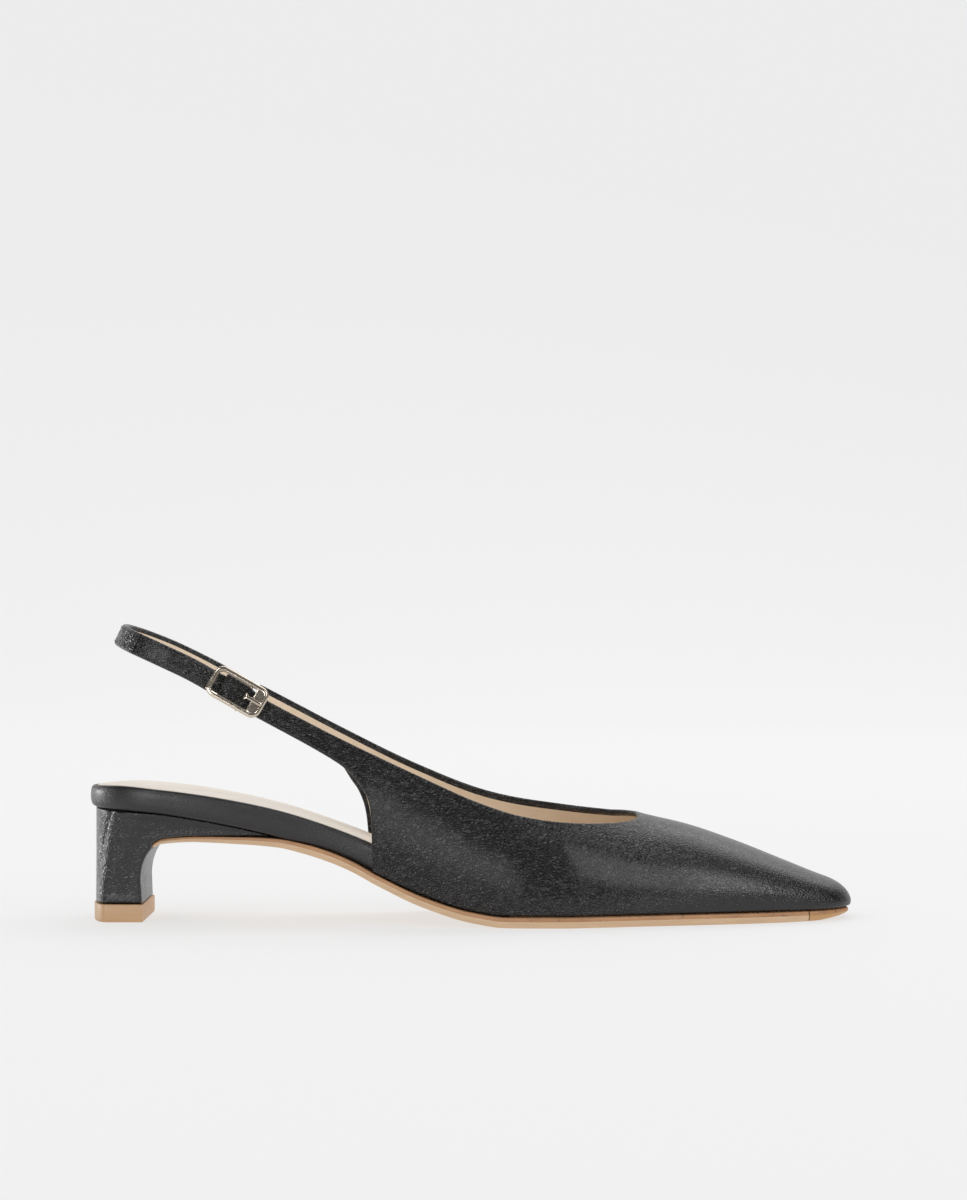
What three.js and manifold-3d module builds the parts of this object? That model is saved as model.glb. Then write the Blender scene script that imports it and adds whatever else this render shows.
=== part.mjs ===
// A right slingback pump shoe on a low heel, in millimetres.
// Toe +X, outer side -Y, inner side +Y, up +Z, origin on the floor under the middle of its length.

import * as THREE from "three";
import { mergeVertices } from "three/addons/utils/BufferGeometryUtils.js";
import Module from "manifold-3d";

const wasm = await Module();
wasm.setup();

// Driving sizes
const LENGTH = 260.5;
const BALL_WIDTH = 76;
const THROAT_HEIGHT = 36;
const STRAP_TOP = 101.2;
const SEAT_HEIGHT = 38.6;
const SOLE = 3.6;
const WALL = 1.6;
const SOCK = 1.5;
const SOCK_PROUD = 0.2;
const RIM = 1.7;
const RIM_SLOPE = 0.2;
const SEAT_TILT = 0.9;
const SOCK_TOE_ROOM = 5.2;
const TUCK = 1.3;
const TOE_TUCK = 0.5;
const TUCK_HEIGHT = 7;
const TOE_TUCK_HEIGHT = 2.4;
const WELT = 0.6;
const TOE_WELT = 1.5;
const GAP = 0.3;
const TOE_DEPTH = 16;
const TOE_SHIFT = 3;
const THROAT_CORNER = 5.2;
const THROAT_BOW = 0.8;
const NOSE_DEPTH = 9;
const SEAT_DEPTH = 27;

const HEEL_INSET = 1.9;
const HEEL_LENGTH = 17.2;
const HEEL_WIDTH = 34;
const HEEL_TOP_WIDTH = 51;
const HEEL_BULGE = 5.5;
const HEEL_TOP_BULGE = 21;
const BREAST_SLOPE = 0.4;
const BREAST_RISE = 8;
const BREAST_CURVE = 4;
const LIFT = 6;
const LIFT_PROUD = 0.5;

const STRAP_WIDTH = 7.5;
const STRAP = 1.9;
const STRAP_TILT = 26;

const BUCKLE_LENGTH = 20.4;
const BUCKLE_WIDTH = 11.2;
const BUCKLE_SIDE = 1.8;
const BUCKLE_CORNER = 3.3;
const BUCKLE_DEPTH = 1.3;
const BUCKLE_TURN = 3.5;
const PLATE_LENGTH = 4.4;
const LEG_WIDTH = 0.8;
const BAR_RADIUS = 0.5;
const BAR_ALONG = 2.4;
const PRONG_WIDTH = 1.2;
const PRONG = 0.5;
const PRONG_LAP = 0.9;
const HOLE_OFFSET = 0.4;
const TAB_OUT = 0.45;
const PLATE_STEP = 0.3;

// Half widths of the last's widest line, as shares of the ball width
const OUTLINE = [
  { at: 0, lateral: 0.352, medial: 0.346 },
  { at: 0.1, lateral: 0.356, medial: 0.349 },
  { at: 0.19, lateral: 0.362, medial: 0.324 },
  { at: 0.27, lateral: 0.36, medial: 0.295 },
  { at: 0.35, lateral: 0.37, medial: 0.281 },
  { at: 0.42, lateral: 0.408, medial: 0.305 },
  { at: 0.5, lateral: 0.464, medial: 0.368 },
  { at: 0.577, lateral: 0.501, medial: 0.446 },
  { at: 0.615, lateral: 0.502, medial: 0.479 },
  { at: 0.665, lateral: 0.473, medial: 0.496 },
  { at: 0.715, lateral: 0.43, medial: 0.473 },
  { at: 0.8, lateral: 0.364, medial: 0.386 },
  { at: 0.87, lateral: 0.305, medial: 0.326 },
  { at: 0.934, lateral: 0.232, medial: 0.27 },
  { at: 1, lateral: 0.145, medial: 0.224 },
];

// Height of the last's ridge as a share of the throat height, and how square its section is
const RIDGE = [
  { at: 0.14, ridge: 3.5, square: 2.3 },
  { at: 0.27, ridge: 2.83, square: 2.3 },
  { at: 0.346, ridge: 2.42, square: 2.3 },
  { at: 0.5, ridge: 1.74, square: 2.3 },
  { at: 0.61, ridge: 1.31, square: 2.25 },
  { at: 0.718, ridge: 1.0, square: 2.2 },
  { at: 0.785, ridge: 0.88, square: 2.3 },
  { at: 0.848, ridge: 0.724, square: 2.45 },
  { at: 0.911, ridge: 0.542, square: 2.6 },
  { at: 0.96, ridge: 0.4, square: 2.7 },
  { at: 1, ridge: 0.3, square: 2.8 },
];

// Rise of the outsole's top as a share of the seat height, and its thickness as a share of the sole's
const SOLE_LINE = [
  { at: 0.0873, rise: 0.598, thick: 0.45 },
  { at: 0.1, rise: 0.639, thick: 0.5 },
  { at: 0.1453, rise: 0.663, thick: 0.55 },
  { at: 0.21, rise: 0.66, thick: 0.72 },
  { at: 0.25, rise: 0.648, thick: 0.84 },
  { at: 0.285, rise: 0.603, thick: 0.95 },
  { at: 0.3161, rise: 0.541, thick: 1 },
  { at: 0.3468, rise: 0.455, thick: 1 },
  { at: 0.3779, rise: 0.344, thick: 1 },
  { at: 0.4401, rise: 0.157, thick: 1 },
  { at: 0.5012, rise: 0.037, thick: 1 },
  { at: 0.545, rise: 0, thick: 1 },
  { at: 0.89, rise: 0, thick: 1 },
  { at: 0.945, rise: 0, thick: 0.95 },
  { at: 0.975, rise: 0.003, thick: 0.72 },
  { at: 1, rise: 0.008, thick: 0.4 },
];

// Underside of the footbed over the heel as a share of the seat height
const SEAT_LINE = [
  { at: 0, under: 1 },
  { at: 0.089, under: 0.972 },
  { at: 0.15, under: 0.912 },
  { at: 0.196, under: 0.852 },
  { at: 0.25, under: 0.762 },
  { at: 0.3, under: 0.66 },
  { at: 0.36, under: 0.4 },
  { at: 0.42, under: 0 },
];

// Rise of the footbed's top as a share of the seat height
const BED_LINE = [
  { at: 0, rise: 1.088 },
  { at: 0.045, rise: 1.1 },
  { at: 0.1, rise: 1.07 },
  { at: 0.15, rise: 1.028 },
  { at: 0.2, rise: 0.969 },
  { at: 0.25, rise: 0.893 },
  { at: 0.3, rise: 0.79 },
  { at: 0.3468, rise: 0.676 },
  { at: 0.3725, rise: 0.604 },
  { at: 0.42, rise: 0.453 },
  { at: 0.47, rise: 0.278 },
  { at: 0.515, rise: 0.137 },
  { at: 0.55, rise: 0.048 },
  { at: 0.59, rise: 0 },
];

// Half widths of the outsole behind the waist as shares of the last's own
const SHANK = [
  { at: 0.0873, narrow: 0.72 },
  { at: 0.15, narrow: 0.79 },
  { at: 0.25, narrow: 0.87 },
  { at: 0.34, narrow: 0.93 },
  { at: 0.42, narrow: 1 },
];

// Height of the topline as a share of the strap's top
const TOPLINE = [
  { at: 0.1464, lateral: 0.8755, medial: 0.8755 },
  { at: 0.2405, lateral: 0.739, medial: 0.752 },
  { at: 0.3322, lateral: 0.6166, medial: 0.63 },
  { at: 0.4244, lateral: 0.505, medial: 0.514 },
  { at: 0.5165, lateral: 0.403, medial: 0.42 },
  { at: 0.5626, lateral: 0.367, medial: 0.392 },
  { at: 0.6086, lateral: 0.347, medial: 0.3745 },
  { at: 0.6555, lateral: 0.338, medial: 0.3605 },
  { at: 0.7, lateral: 0.336, medial: 0.352 },
];

// The outer quarter's lower edge, from the strap down the open back, as shares of the strap's top,
// and how much further back the inner quarter's edge lies
const BACK_EDGE = [
  { at: 0.155, height: 0.781, medialBack: 0 },
  { at: 0.2247, height: 0.685, medialBack: 0 },
  { at: 0.285, height: 0.602, medialBack: 0.005 },
  { at: 0.3235, height: 0.5445, medialBack: 0.015 },
  { at: 0.3442, height: 0.504, medialBack: 0.0185 },
  { at: 0.3588, height: 0.4565, medialBack: 0.021 },
  { at: 0.368, height: 0.409, medialBack: 0.0185 },
  { at: 0.3718, height: 0.336, medialBack: 0.0138 },
];

// Height of the strap's middle as a share of its top
const SLING_LINE = [
  { at: 0.0399, height: 0.958 },
  { at: 0.0681, height: 0.928 },
  { at: 0.1004, height: 0.892 },
  { at: 0.1622, height: 0.814 },
  { at: 0.2247, height: 0.726 },
];

// Plan of the strap from the buckle round the heel to the inner quarter
const SLING_PATH = [
  { at: 0.14, side: -0.292 },
  { at: 0.1, side: -0.299 },
  { at: 0.0645, side: -0.245 },
  { at: 0.0445, side: -0.13 },
  { at: 0.0399, side: 0 },
  { at: 0.0445, side: 0.13 },
  { at: 0.0645, side: 0.245 },
  { at: 0.1, side: 0.3 },
  { at: 0.155, side: 0.292 },
];

// Landmarks along the length
const FOOT_BACK_AT = { lateral: 0.3725, medial: 0.363 };
const RIM_END_AT = 0.41;
const RECESS_FADE_AT = 0.44;
const STRAP_FOOT_AT = 0.285;
const LIP_WAIST_AT = 0.447;
const ARCH_FOOT_AT = 0.73;
const THROAT_AT = 0.718;
const TOE_JOINT_AT = 0.938;
const BED_END_AT = 0.55;
const SOLE_END_AT = 0.0873;
const WING_END_AT = 0.238;
const TOE_START_AT = 0.88;
const TAB_END_AT = 0.172;
const STUB_END_AT = 0.204;
const BUCKLE_AT = 0.1994;
const BUCKLE_RAISE = 0.65;
const TAB_TRIM = 0.05;
const TAB_RISE = 1;
const SEAM_SHARE = 0.316;

const SEAT_X = -LENGTH / 2;
const stationX = (at) => SEAT_X + at * LENGTH;
const stationAt = (x) => (x - SEAT_X) / LENGTH;
const LATERAL = -1;
const MEDIAL = 1;
const sideName = (side) => (side === LATERAL ? "lateral" : "medial");

const clamp = THREE.MathUtils.clamp;
const lerp = THREE.MathUtils.lerp;
const smoothstep = THREE.MathUtils.smoothstep;

// A smooth curve through one column of a table, with no overshoot between its rows
function curve(table, name) {
  const xs = table.map((row) => row.at);
  const ys = table.map((row) => row[name]);
  const last = xs.length - 1;
  const slopes = ys.slice(1).map((y, i) => (y - ys[i]) / (xs[i + 1] - xs[i]));
  const tangents = ys.map((_, i) => {
    const before = slopes[Math.max(0, i - 1)];
    const after = slopes[Math.min(last - 1, i)];
    return before * after <= 0 ? 0 : (2 * before * after) / (before + after);
  });
  return (value) => {
    const at = clamp(value, xs[0], xs[last]);
    const i = clamp(xs.findIndex((x) => x >= at) - 1, 0, last - 1);
    const step = xs[i + 1] - xs[i];
    const t = (at - xs[i]) / step;
    const bend = (1 - t) * (1 - t) * t * step * tangents[i] - t * t * (1 - t) * step * tangents[i + 1];
    return lerp(ys[i], ys[i + 1], t * t * (3 - 2 * t)) + bend;
  };
}

const outline = { lateral: curve(OUTLINE, "lateral"), medial: curve(OUTLINE, "medial") };
const topline = { lateral: curve(TOPLINE, "lateral"), medial: curve(TOPLINE, "medial") };
const ridgeShare = curve(RIDGE, "ridge");
const squareness = curve(RIDGE, "square");
const soleRise = curve(SOLE_LINE, "rise");
const soleThin = curve(SOLE_LINE, "thick");
const seatUnder = curve(SEAT_LINE, "under");
const bedRise = curve(BED_LINE, "rise");
const shankNarrow = curve(SHANK, "narrow");
const slingHeight = curve(SLING_LINE, "height");

// Heights of the stacked pieces over the floor at a station
const soleTop = (x) => SOLE + SEAT_HEIGHT * soleRise(stationAt(x));
const soleUnder = (x) => soleTop(x) - SOLE * soleThin(stationAt(x));
const bedUnder = (x) => Math.max(SEAT_HEIGHT * seatUnder(stationAt(x)), soleTop(x) + GAP);

// The sock lies in a recess of the footbed, inside a rim that sinks once the upper covers it.
// The seat leans a little to the inner side
const lean = (x) => SEAT_TILT * (1 - smoothstep(stationAt(x), RIM_END_AT, BED_END_AT));
const seatHalf = BALL_WIDTH / 3;
const bedLine = (x, y) =>
  SOLE + GAP + SEAT_HEIGHT * bedRise(stationAt(x)) - lean(x) * smoothstep(y, -seatHalf, seatHalf);
const recess = (x) =>
  (GAP + SOCK - SOCK_PROUD) * (1 - smoothstep(stationAt(x), RECESS_FADE_AT, BED_END_AT));
const bedFloor = (x, y) => bedLine(x, y) - recess(x);
const bedTop = (x, y) =>
  lerp(bedLine(x, y), bedFloor(x, y), smoothstep(stationAt(x), FOOT_BACK_AT.lateral, RIM_END_AT));
const sockUnder = (x, y) => Math.max(bedFloor(x, y), soleTop(x)) + GAP;

// How far a round end has closed, from 1 at the depth to 0 at the tip
const TOE_POWER = 3;
const SEAT_POWER = 2.15;
const NOSE_POWER = 2.8;
const FLAT_SHARE = 0.06;
const closing = (away, depth, power) => (1 - clamp(1 - away / depth, 0, 1) ** power) ** (1 / power);

// The last's middle line and the half widths of its widest line, closed at seat and toe
const middle = (x) => TOE_SHIFT * smoothstep(stationAt(x), 0.5, 0.93);
function edge(x, side) {
  const full = side * outline[sideName(side)](stationAt(x)) * BALL_WIDTH;
  const toe = closing(stationX(1) - x, TOE_DEPTH, TOE_POWER);
  const seat = closing(x - SEAT_X, SEAT_DEPTH, SEAT_POWER);
  return middle(x) + (full - middle(x)) * toe * seat;
}

// The last's section: from the feather up to the ridge as a superellipse on each side
function section(x) {
  const low = soleTop(x) + GAP;
  const nose = closing(stationX(1) - x, NOSE_DEPTH, NOSE_POWER);
  const ridge = low + (THROAT_HEIGHT * ridgeShare(stationAt(x)) - low) * nose;
  return { low, ridge, square: squareness(stationAt(x)) };
}
function heightAt(x, y) {
  const { low, ridge, square } = section(x);
  const reach = (y - middle(x)) / (edge(x, y < middle(x) ? LATERAL : MEDIAL) - middle(x));
  return low + (ridge - low) * (1 - clamp(reach, 0, 1) ** square) ** (1 / square);
}
function sideAt(x, z, side) {
  const { low, ridge, square } = section(x);
  const rise = clamp((z - low) / (ridge - low), 0, 1);
  return middle(x) + (edge(x, side) - middle(x)) * (1 - rise ** square) ** (1 / square);
}
const onSide = (x, z, side) => new THREE.Vector3(x, sideAt(x, z, side), z);
const onTop = (x, y) => new THREE.Vector3(x, y, heightAt(x, y));

// A line of points with an even walk along it
function walk(points) {
  const lengths = [0];
  points.slice(1).forEach((p, i) => lengths.push(lengths[i] + p.distanceTo(points[i])));
  const total = lengths[lengths.length - 1];
  return (share) => {
    const goal = clamp(share, 0, 1) * total;
    const i = clamp(lengths.findIndex((l) => l >= goal) - 1, 0, points.length - 2);
    const t = (goal - lengths[i]) / Math.max(lengths[i + 1] - lengths[i], 1e-9);
    return points[i].clone().lerp(points[i + 1], t);
  };
}
const steps = (count) => Array.from({ length: count + 1 }, (_, i) => i / count);

// The strap's direction along the quarter, and square to it, in side view
const tilt = THREE.MathUtils.degToRad(STRAP_TILT);
const strapUp = new THREE.Vector3(Math.sin(tilt), 0, Math.cos(tilt));

// The two edges of one side of the upper, each in four stretches from the strap to the toe's middle
function upperEdges(side, endAt) {
  const backAt = (row) => (side === MEDIAL ? row.at - row.medialBack : row.at);
  const backSpot = (row) => new THREE.Vector2(stationX(backAt(row)), row.height * STRAP_TOP);
  const backPoints = BACK_EDGE.map(backSpot);
  const cornerX = stationX(FOOT_BACK_AT[sideName(side)]);
  backPoints.push(new THREE.Vector2(cornerX, soleTop(cornerX) + GAP));
  const back = new THREE.SplineCurve(backPoints).getSpacedPoints(240);
  const trim = (x) => (side === LATERAL ? TAB_TRIM * (1 - smoothstep(x, buckleX, buckleX + BUCKLE_LENGTH)) : 0);
  const shifted = (x, z, up) => onSide(x + up * strapUp.x, z + up * strapUp.z, side);
  const toLine = (list) => list.map((p) => shifted(p.x, p.y, trim(p.x)));
  const turnX = stationX(STRAP_FOOT_AT);
  const turn = back.findIndex((p) => p.x > turnX);
  const strapFoot = back.slice(0, turn).filter((p) => p.x > stationX(endAt));
  const quarterFoot = back.slice(turn - 1);

  const feather = (from, to) => steps(40).map((t) => {
    const x = lerp(from, to, t);
    return onSide(x, soleTop(x) + GAP, side);
  });
  const archX = stationX(ARCH_FOOT_AT);
  const flatDepth = FLAT_SHARE * TOE_DEPTH;
  const frontX = stationX(1) - flatDepth;
  const front = steps(20).map((t) => {
    const x = stationX(1) - flatDepth * (1 - t) ** TOE_POWER;
    return new THREE.Vector3(x, lerp(edge(frontX, side), middle(frontX), t), soleTop(x) + GAP);
  });

  const tabRise = (x) => (side === LATERAL ? TAB_RISE * (1 - smoothstep(x, buckleX + 2, buckleX + 9)) : 0);
  const lip = (x) => shifted(x, topline[sideName(side)](stationAt(x)) * STRAP_TOP, tabRise(x) - trim(x));
  const lipLine = (from, to) => steps(30).map((t) => lip(lerp(from, to, t)));
  const across = strapUp.clone().multiplyScalar(STRAP_WIDTH);
  const lipStart = strapFoot[0].x + across.x;
  const lipTurn = turnX + across.x;
  const lipWaist = stationX(LIP_WAIST_AT);
  const throatX = stationX(THROAT_AT);
  const cornerStart = throatX - 1.6 * THROAT_CORNER;
  const cornerTip = lip(throatX - THROAT_BOW);
  const cornerEnd = new THREE.Vector3(throatX - THROAT_BOW / 5, cornerTip.y - side * THROAT_CORNER, 0);
  const bend = new THREE.QuadraticBezierCurve3(lip(cornerStart), cornerTip, cornerEnd).getPoints(16);
  const throatMiddle = new THREE.Vector3(throatX, middle(throatX), 0);
  const throatFront = steps(8).map((t) => cornerEnd.clone().lerp(throatMiddle, t));
  const drop = (list) => list.map((p) => onTop(p.x, p.y));

  return [
    { foot: toLine(strapFoot), lip: lipLine(lipStart, lipTurn), ribs: 6, plan: () => 0 },
    { foot: toLine(quarterFoot), lip: lipLine(lipTurn, lipWaist), ribs: 10, plan: () => 0 },
    {
      foot: feather(cornerX, archX),
      lip: lipLine(lipWaist, cornerStart),
      ribs: 12,
      plan: (t) => smoothstep(t, 0, 1),
    },
    { foot: feather(archX, frontX), lip: drop(bend), ribs: 11, plan: () => 1 },
    { foot: front, lip: drop(throatFront), ribs: 4, plan: () => 1 },
  ];
}

// The last's surface, met along the spoke through a point of a section
function ontoLast(p) {
  const { low, ridge, square } = section(p.x);
  const half = edge(p.x, p.y < middle(p.x) ? LATERAL : MEDIAL) - middle(p.x);
  const across = Math.max((p.y - middle(p.x)) / half, 0);
  const rise = Math.max((p.z - low) / (ridge - low), 0);
  const reach = (across ** square + rise ** square) ** (1 / square);
  return new THREE.Vector3(p.x, middle(p.x) + (p.y - middle(p.x)) / reach, low + (p.z - low) / reach);
}

// One rib of the upper: from its foot to the lip over the last, in side view, in plan or between
function rib(foot, lip, side, plan, shares) {
  const sideways = walk(steps(40).map((t) => onSide(lerp(foot.x, lip.x, t), lerp(foot.z, lip.z, t), side)));
  const upward = walk(
    steps(60).map((t) => {
      const s = t ** 2.4;
      const p = onTop(lerp(foot.x, lip.x, s), lerp(foot.y, lip.y, s));
      return t === 0 ? foot : p;
    }),
  );
  return shares.map((v) => {
    if (plan === 0) return sideways(v);
    if (plan === 1) return upward(v);
    return ontoLast(sideways(v).lerp(upward(v), plan));
  });
}

// A closed solid through rings of paired points: point k of a ring faces its last minus k
function loft(rings) {
  const count = rings[0].length;
  const positions = rings.flat().flatMap((p) => [p.x, p.y, p.z]);
  const faces = [];
  const quad = (a, b, c, d) => faces.push(a, b, c, a, c, d);
  rings.slice(1).forEach((_, i) => {
    for (let k = 0; k < count; k += 1) {
      const next = (k + 1) % count;
      quad(i * count + k, i * count + next, (i + 1) * count + next, (i + 1) * count + k);
    }
  });
  const end = (rings.length - 1) * count;
  for (let k = 0; k < count / 2 - 1; k += 1) {
    quad(k, count - 1 - k, count - 2 - k, k + 1);
    quad(end + k, end + k + 1, end + count - 2 - k, end + count - 1 - k);
  }
  const geometry = new THREE.BufferGeometry();
  geometry.setAttribute("position", new THREE.Float32BufferAttribute(positions, 3));
  geometry.setIndex(faces);
  return facingOut(geometry);
}

// The same geometry with its faces turned out
function facingOut(geometry) {
  const p = geometry.getAttribute("position");
  const faces = geometry.getIndex().array;
  const corner = (i) => new THREE.Vector3().fromBufferAttribute(p, faces[i]);
  let volume = 0;
  for (let i = 0; i < faces.length; i += 3) {
    volume += corner(i).dot(corner(i + 1).cross(corner(i + 2)));
  }
  if (volume < 0) geometry.setIndex(Array.from(faces).reverse());
  return geometry;
}

// Between three.js geometry and manifold-3d solids
function toSolid(geometry) {
  const bare = geometry.clone();
  bare.deleteAttribute("normal");
  bare.deleteAttribute("uv");
  const merged = mergeVertices(bare, 1e-4);
  const vertProperties = new Float32Array(merged.getAttribute("position").array);
  const triVerts = new Uint32Array(merged.getIndex().array);
  return new wasm.Manifold(new wasm.Mesh({ numProp: 3, vertProperties, triVerts }));
}
function toGeometry(solid) {
  const mesh = solid.getMesh();
  const geometry = new THREE.BufferGeometry();
  geometry.setAttribute("position", new THREE.BufferAttribute(new Float32Array(mesh.vertProperties), 3));
  geometry.setIndex(new THREE.BufferAttribute(new Uint32Array(mesh.triVerts), 1));
  return geometry;
}

// The upper: one hollow shell whose wall lies inside the last's surface
function upperShell() {
  const shares = steps(13).map((v) => v ** 1.15);
  const grid = [];
  for (const [side, endAt] of [[LATERAL, TAB_END_AT], [MEDIAL, STUB_END_AT]]) {
    const ribs = [];
    upperEdges(side, endAt).forEach((stretch, i) => {
      const foot = walk(stretch.foot);
      const lip = walk(stretch.lip);
      steps(stretch.ribs).slice(i === 0 ? 0 : 1).forEach((t) => {
        ribs.push(rib(foot(t), lip(t), side, stretch.plan(t), shares));
      });
    });
    grid.push(side === LATERAL ? ribs : ribs.slice(0, -1).reverse());
  }
  const skin = tuckIn(grid.flat());
  const lining = offsetGrid(skin, WALL);
  return loft(skin.map((row, i) => [...row, ...lining[i].toReversed()]));
}

// The outward normal at a point of a grid whose rows run from foot to lip
function gridNormal(grid, i, j) {
  const before = grid[Math.max(0, i - 1)][j];
  const after = grid[Math.min(grid.length - 1, i + 1)][j];
  const below = grid[i][Math.max(0, j - 1)];
  const above = grid[i][Math.min(grid[i].length - 1, j + 1)];
  return after.clone().sub(before).cross(above.clone().sub(below)).normalize();
}
const offsetGrid = (grid, depth) =>
  grid.map((row, i) => row.map((p, j) => p.clone().addScaledVector(gridNormal(grid, i, j), -depth)));

// The lowest stretch of the wall draws in under the last
function tuckIn(grid) {
  return grid.map((row, i) =>
    row.map((p, j) => {
      const height = lerp(TUCK_HEIGHT, TOE_TUCK_HEIGHT, smoothstep(stationAt(p.x), TOE_START_AT, 1));
      const rise = clamp((p.z - soleTop(p.x) - GAP) / height, 0, 1);
      const flat = gridNormal(grid, i, j).setZ(0).normalize();
      const depth = lerp(TUCK, TOE_TUCK, smoothstep(stationAt(p.x), TOE_START_AT, 1));
      return p.clone().addScaledVector(flat, -depth * (1 - rise) ** 2);
    }),
  );
}

// Stations shared by the stacked plates, with more of them where an end is round
const STATION_STEP = LENGTH / 64;
const CROWDED = [0.03, 0.14, 0.35, 0.7, 1.2, 1.8];
function stations(from, to, roundBack, roundFront) {
  const shared = steps(64).map(stationX);
  const backEnd = from + (roundBack ? 2.4 : 0.3) * STATION_STEP;
  const frontEnd = to - (roundFront ? 2.4 : 0.3) * STATION_STEP;
  const backward = roundBack ? CROWDED.map((share) => from + share * STATION_STEP) : [];
  const forward = roundFront ? CROWDED.map((share) => to - share * STATION_STEP).toReversed() : [];
  return [from, ...backward, ...shared.filter((x) => x > backEnd && x < frontEnd), ...forward, to];
}

// A plate with an outline in plan, drawn in at each level, between an under and an upper height,
// with an optional sunk floor and an optional draw that varies along it
function plate({ xs, reach, under, top, floor = top, draw = () => 0, levels, cutBack, cutFront }) {
  const lateral = xs.map((x) => new THREE.Vector2(x, reach(x, LATERAL)));
  const medial = xs.map((x) => new THREE.Vector2(x, reach(x, MEDIAL)));
  const ring = [...lateral, ...medial.toReversed()];
  const last = xs.length - 1;
  const inward = ring.map((_, k) => {
    const before = ring[(k + ring.length - 1) % ring.length];
    const after = ring[(k + 1) % ring.length];
    const along = after.clone().sub(before);
    const normal = new THREE.Vector2(-along.y, along.x).normalize();
    const station = k <= last ? k : ring.length - 1 - k;
    const cut = (cutBack && station === 0) || (cutFront && station === last);
    return cut ? new THREE.Vector2(0, Math.sign(normal.y)) : normal;
  });
  return loft(
    levels.map(({ inset, share, sunk }) =>
      ring.map((p, k) => {
        const q = p.clone().addScaledVector(inward[k], inset + draw(p.x));
        const height = sunk ? floor(q.x, q.y) : lerp(under(q.x, q.y), top(q.x, q.y), share);
        return new THREE.Vector3(q.x, q.y, height);
      }),
    ),
  );
}

// The outsole and its toe insert share one outline, edge and thickness
const welt = (x) => lerp(WELT, TOE_WELT, smoothstep(stationAt(x), TOE_START_AT, 1));
const soleReach = (x, side) =>
  middle(x) + (edge(x, side) - middle(x)) * shankNarrow(stationAt(x)) - side * welt(x);
const SOLE_EDGE = [
  { inset: 1.5, share: 0 },
  { inset: 0.35, share: 0.3 },
  { inset: 0, share: 0.62 },
  { inset: 0, share: 1 },
];
function outsole() {
  const joint = stationX(TOE_JOINT_AT) - GAP / 2;
  return plate({
    xs: stations(stationX(SOLE_END_AT), joint, false, false),
    reach: soleReach,
    under: soleUnder,
    top: soleTop,
    levels: SOLE_EDGE,
    cutBack: true,
    cutFront: true,
  });
}
function toeTip() {
  const joint = stationX(TOE_JOINT_AT) + GAP / 2;
  return plate({
    xs: stations(joint, stationX(1) - TOE_WELT - GAP / 2, false, true),
    reach: soleReach,
    under: soleUnder,
    top: soleTop,
    levels: SOLE_EDGE,
    cutBack: true,
  });
}

// The footbed's edge shows behind the upper and slips inside its wall
const wallDepth = TUCK + WALL + GAP;
const bedInset = (x) => wallDepth * smoothstep(stationAt(x), 0.12, 0.33);
function footbed() {
  return plate({
    xs: stations(SEAT_X + GAP / 3, stationX(BED_END_AT), true, false),
    reach: (x, side) => edge(x, side) - side * bedInset(x),
    under: bedUnder,
    top: bedTop,
    floor: bedFloor,
    levels: [
      { inset: 1.6, share: 0 },
      { inset: 0.5, share: 0.18 },
      { inset: 0, share: 0.55 },
      { inset: 0.3, share: 0.87 },
      { inset: 1.1, share: 1 },
      { inset: RIM, share: 1 },
      { inset: RIM + RIM_SLOPE, sunk: true },
    ],
    cutFront: true,
  });
}
const sockInset = RIM + RIM_SLOPE + GAP;
function insole() {
  const toeSlack = (x) => sockInset * smoothstep(stationAt(x), TOE_START_AT, 1);
  return plate({
    xs: stations(SEAT_X + GAP / 3, stationX(1) - wallDepth - SOCK_TOE_ROOM, true, true),
    reach: (x, side) => edge(x, side) - side * (bedInset(x) + toeSlack(x)),
    draw: (x) => lerp(sockInset, GAP, smoothstep(stationAt(x), RIM_END_AT, BED_END_AT)),
    under: sockUnder,
    top: (x, y) => sockUnder(x, y) + SOCK,
    levels: [
      { inset: 0.2, share: 0 },
      { inset: 0, share: 0.5 },
      { inset: 0.5, share: 1 },
    ],
  });
}

// The heel: a side profile cut from a loft of plan sections that widens to the seat
const heelBack = SEAT_X + HEEL_INSET;
const heelBreast = heelBack + HEEL_LENGTH;
function heelRing(z, proud) {
  const seatZ = SEAT_HEIGHT - LIFT;
  const rise = clamp((z - LIFT) / seatZ, 0, 1.2);
  const half = lerp(HEEL_WIDTH, HEEL_TOP_WIDTH, rise ** 1.6) / 2 + proud;
  const depth = lerp(HEEL_BULGE, HEEL_TOP_BULGE, rise ** 1.5) + proud;
  const power = lerp(2, SEAT_POWER, rise);
  const back = heelBack - proud;
  const front = lerp(heelBreast + proud, stationX(WING_END_AT) + GAP, smoothstep(rise, 0.35, 0.7));
  const xs = [0.002, 0.02, 0.06, 0.13, 0.24, 0.38, 0.55, 0.76, 1].map((t) => back + t * depth);
  xs.push(front);
  const outer = xs.map((x) => new THREE.Vector3(x, -half * closing(x - back, depth, power), z));
  const inner = outer.map((p) => new THREE.Vector3(p.x, -p.y, z));
  return [...outer, ...inner.toReversed()];
}
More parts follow.
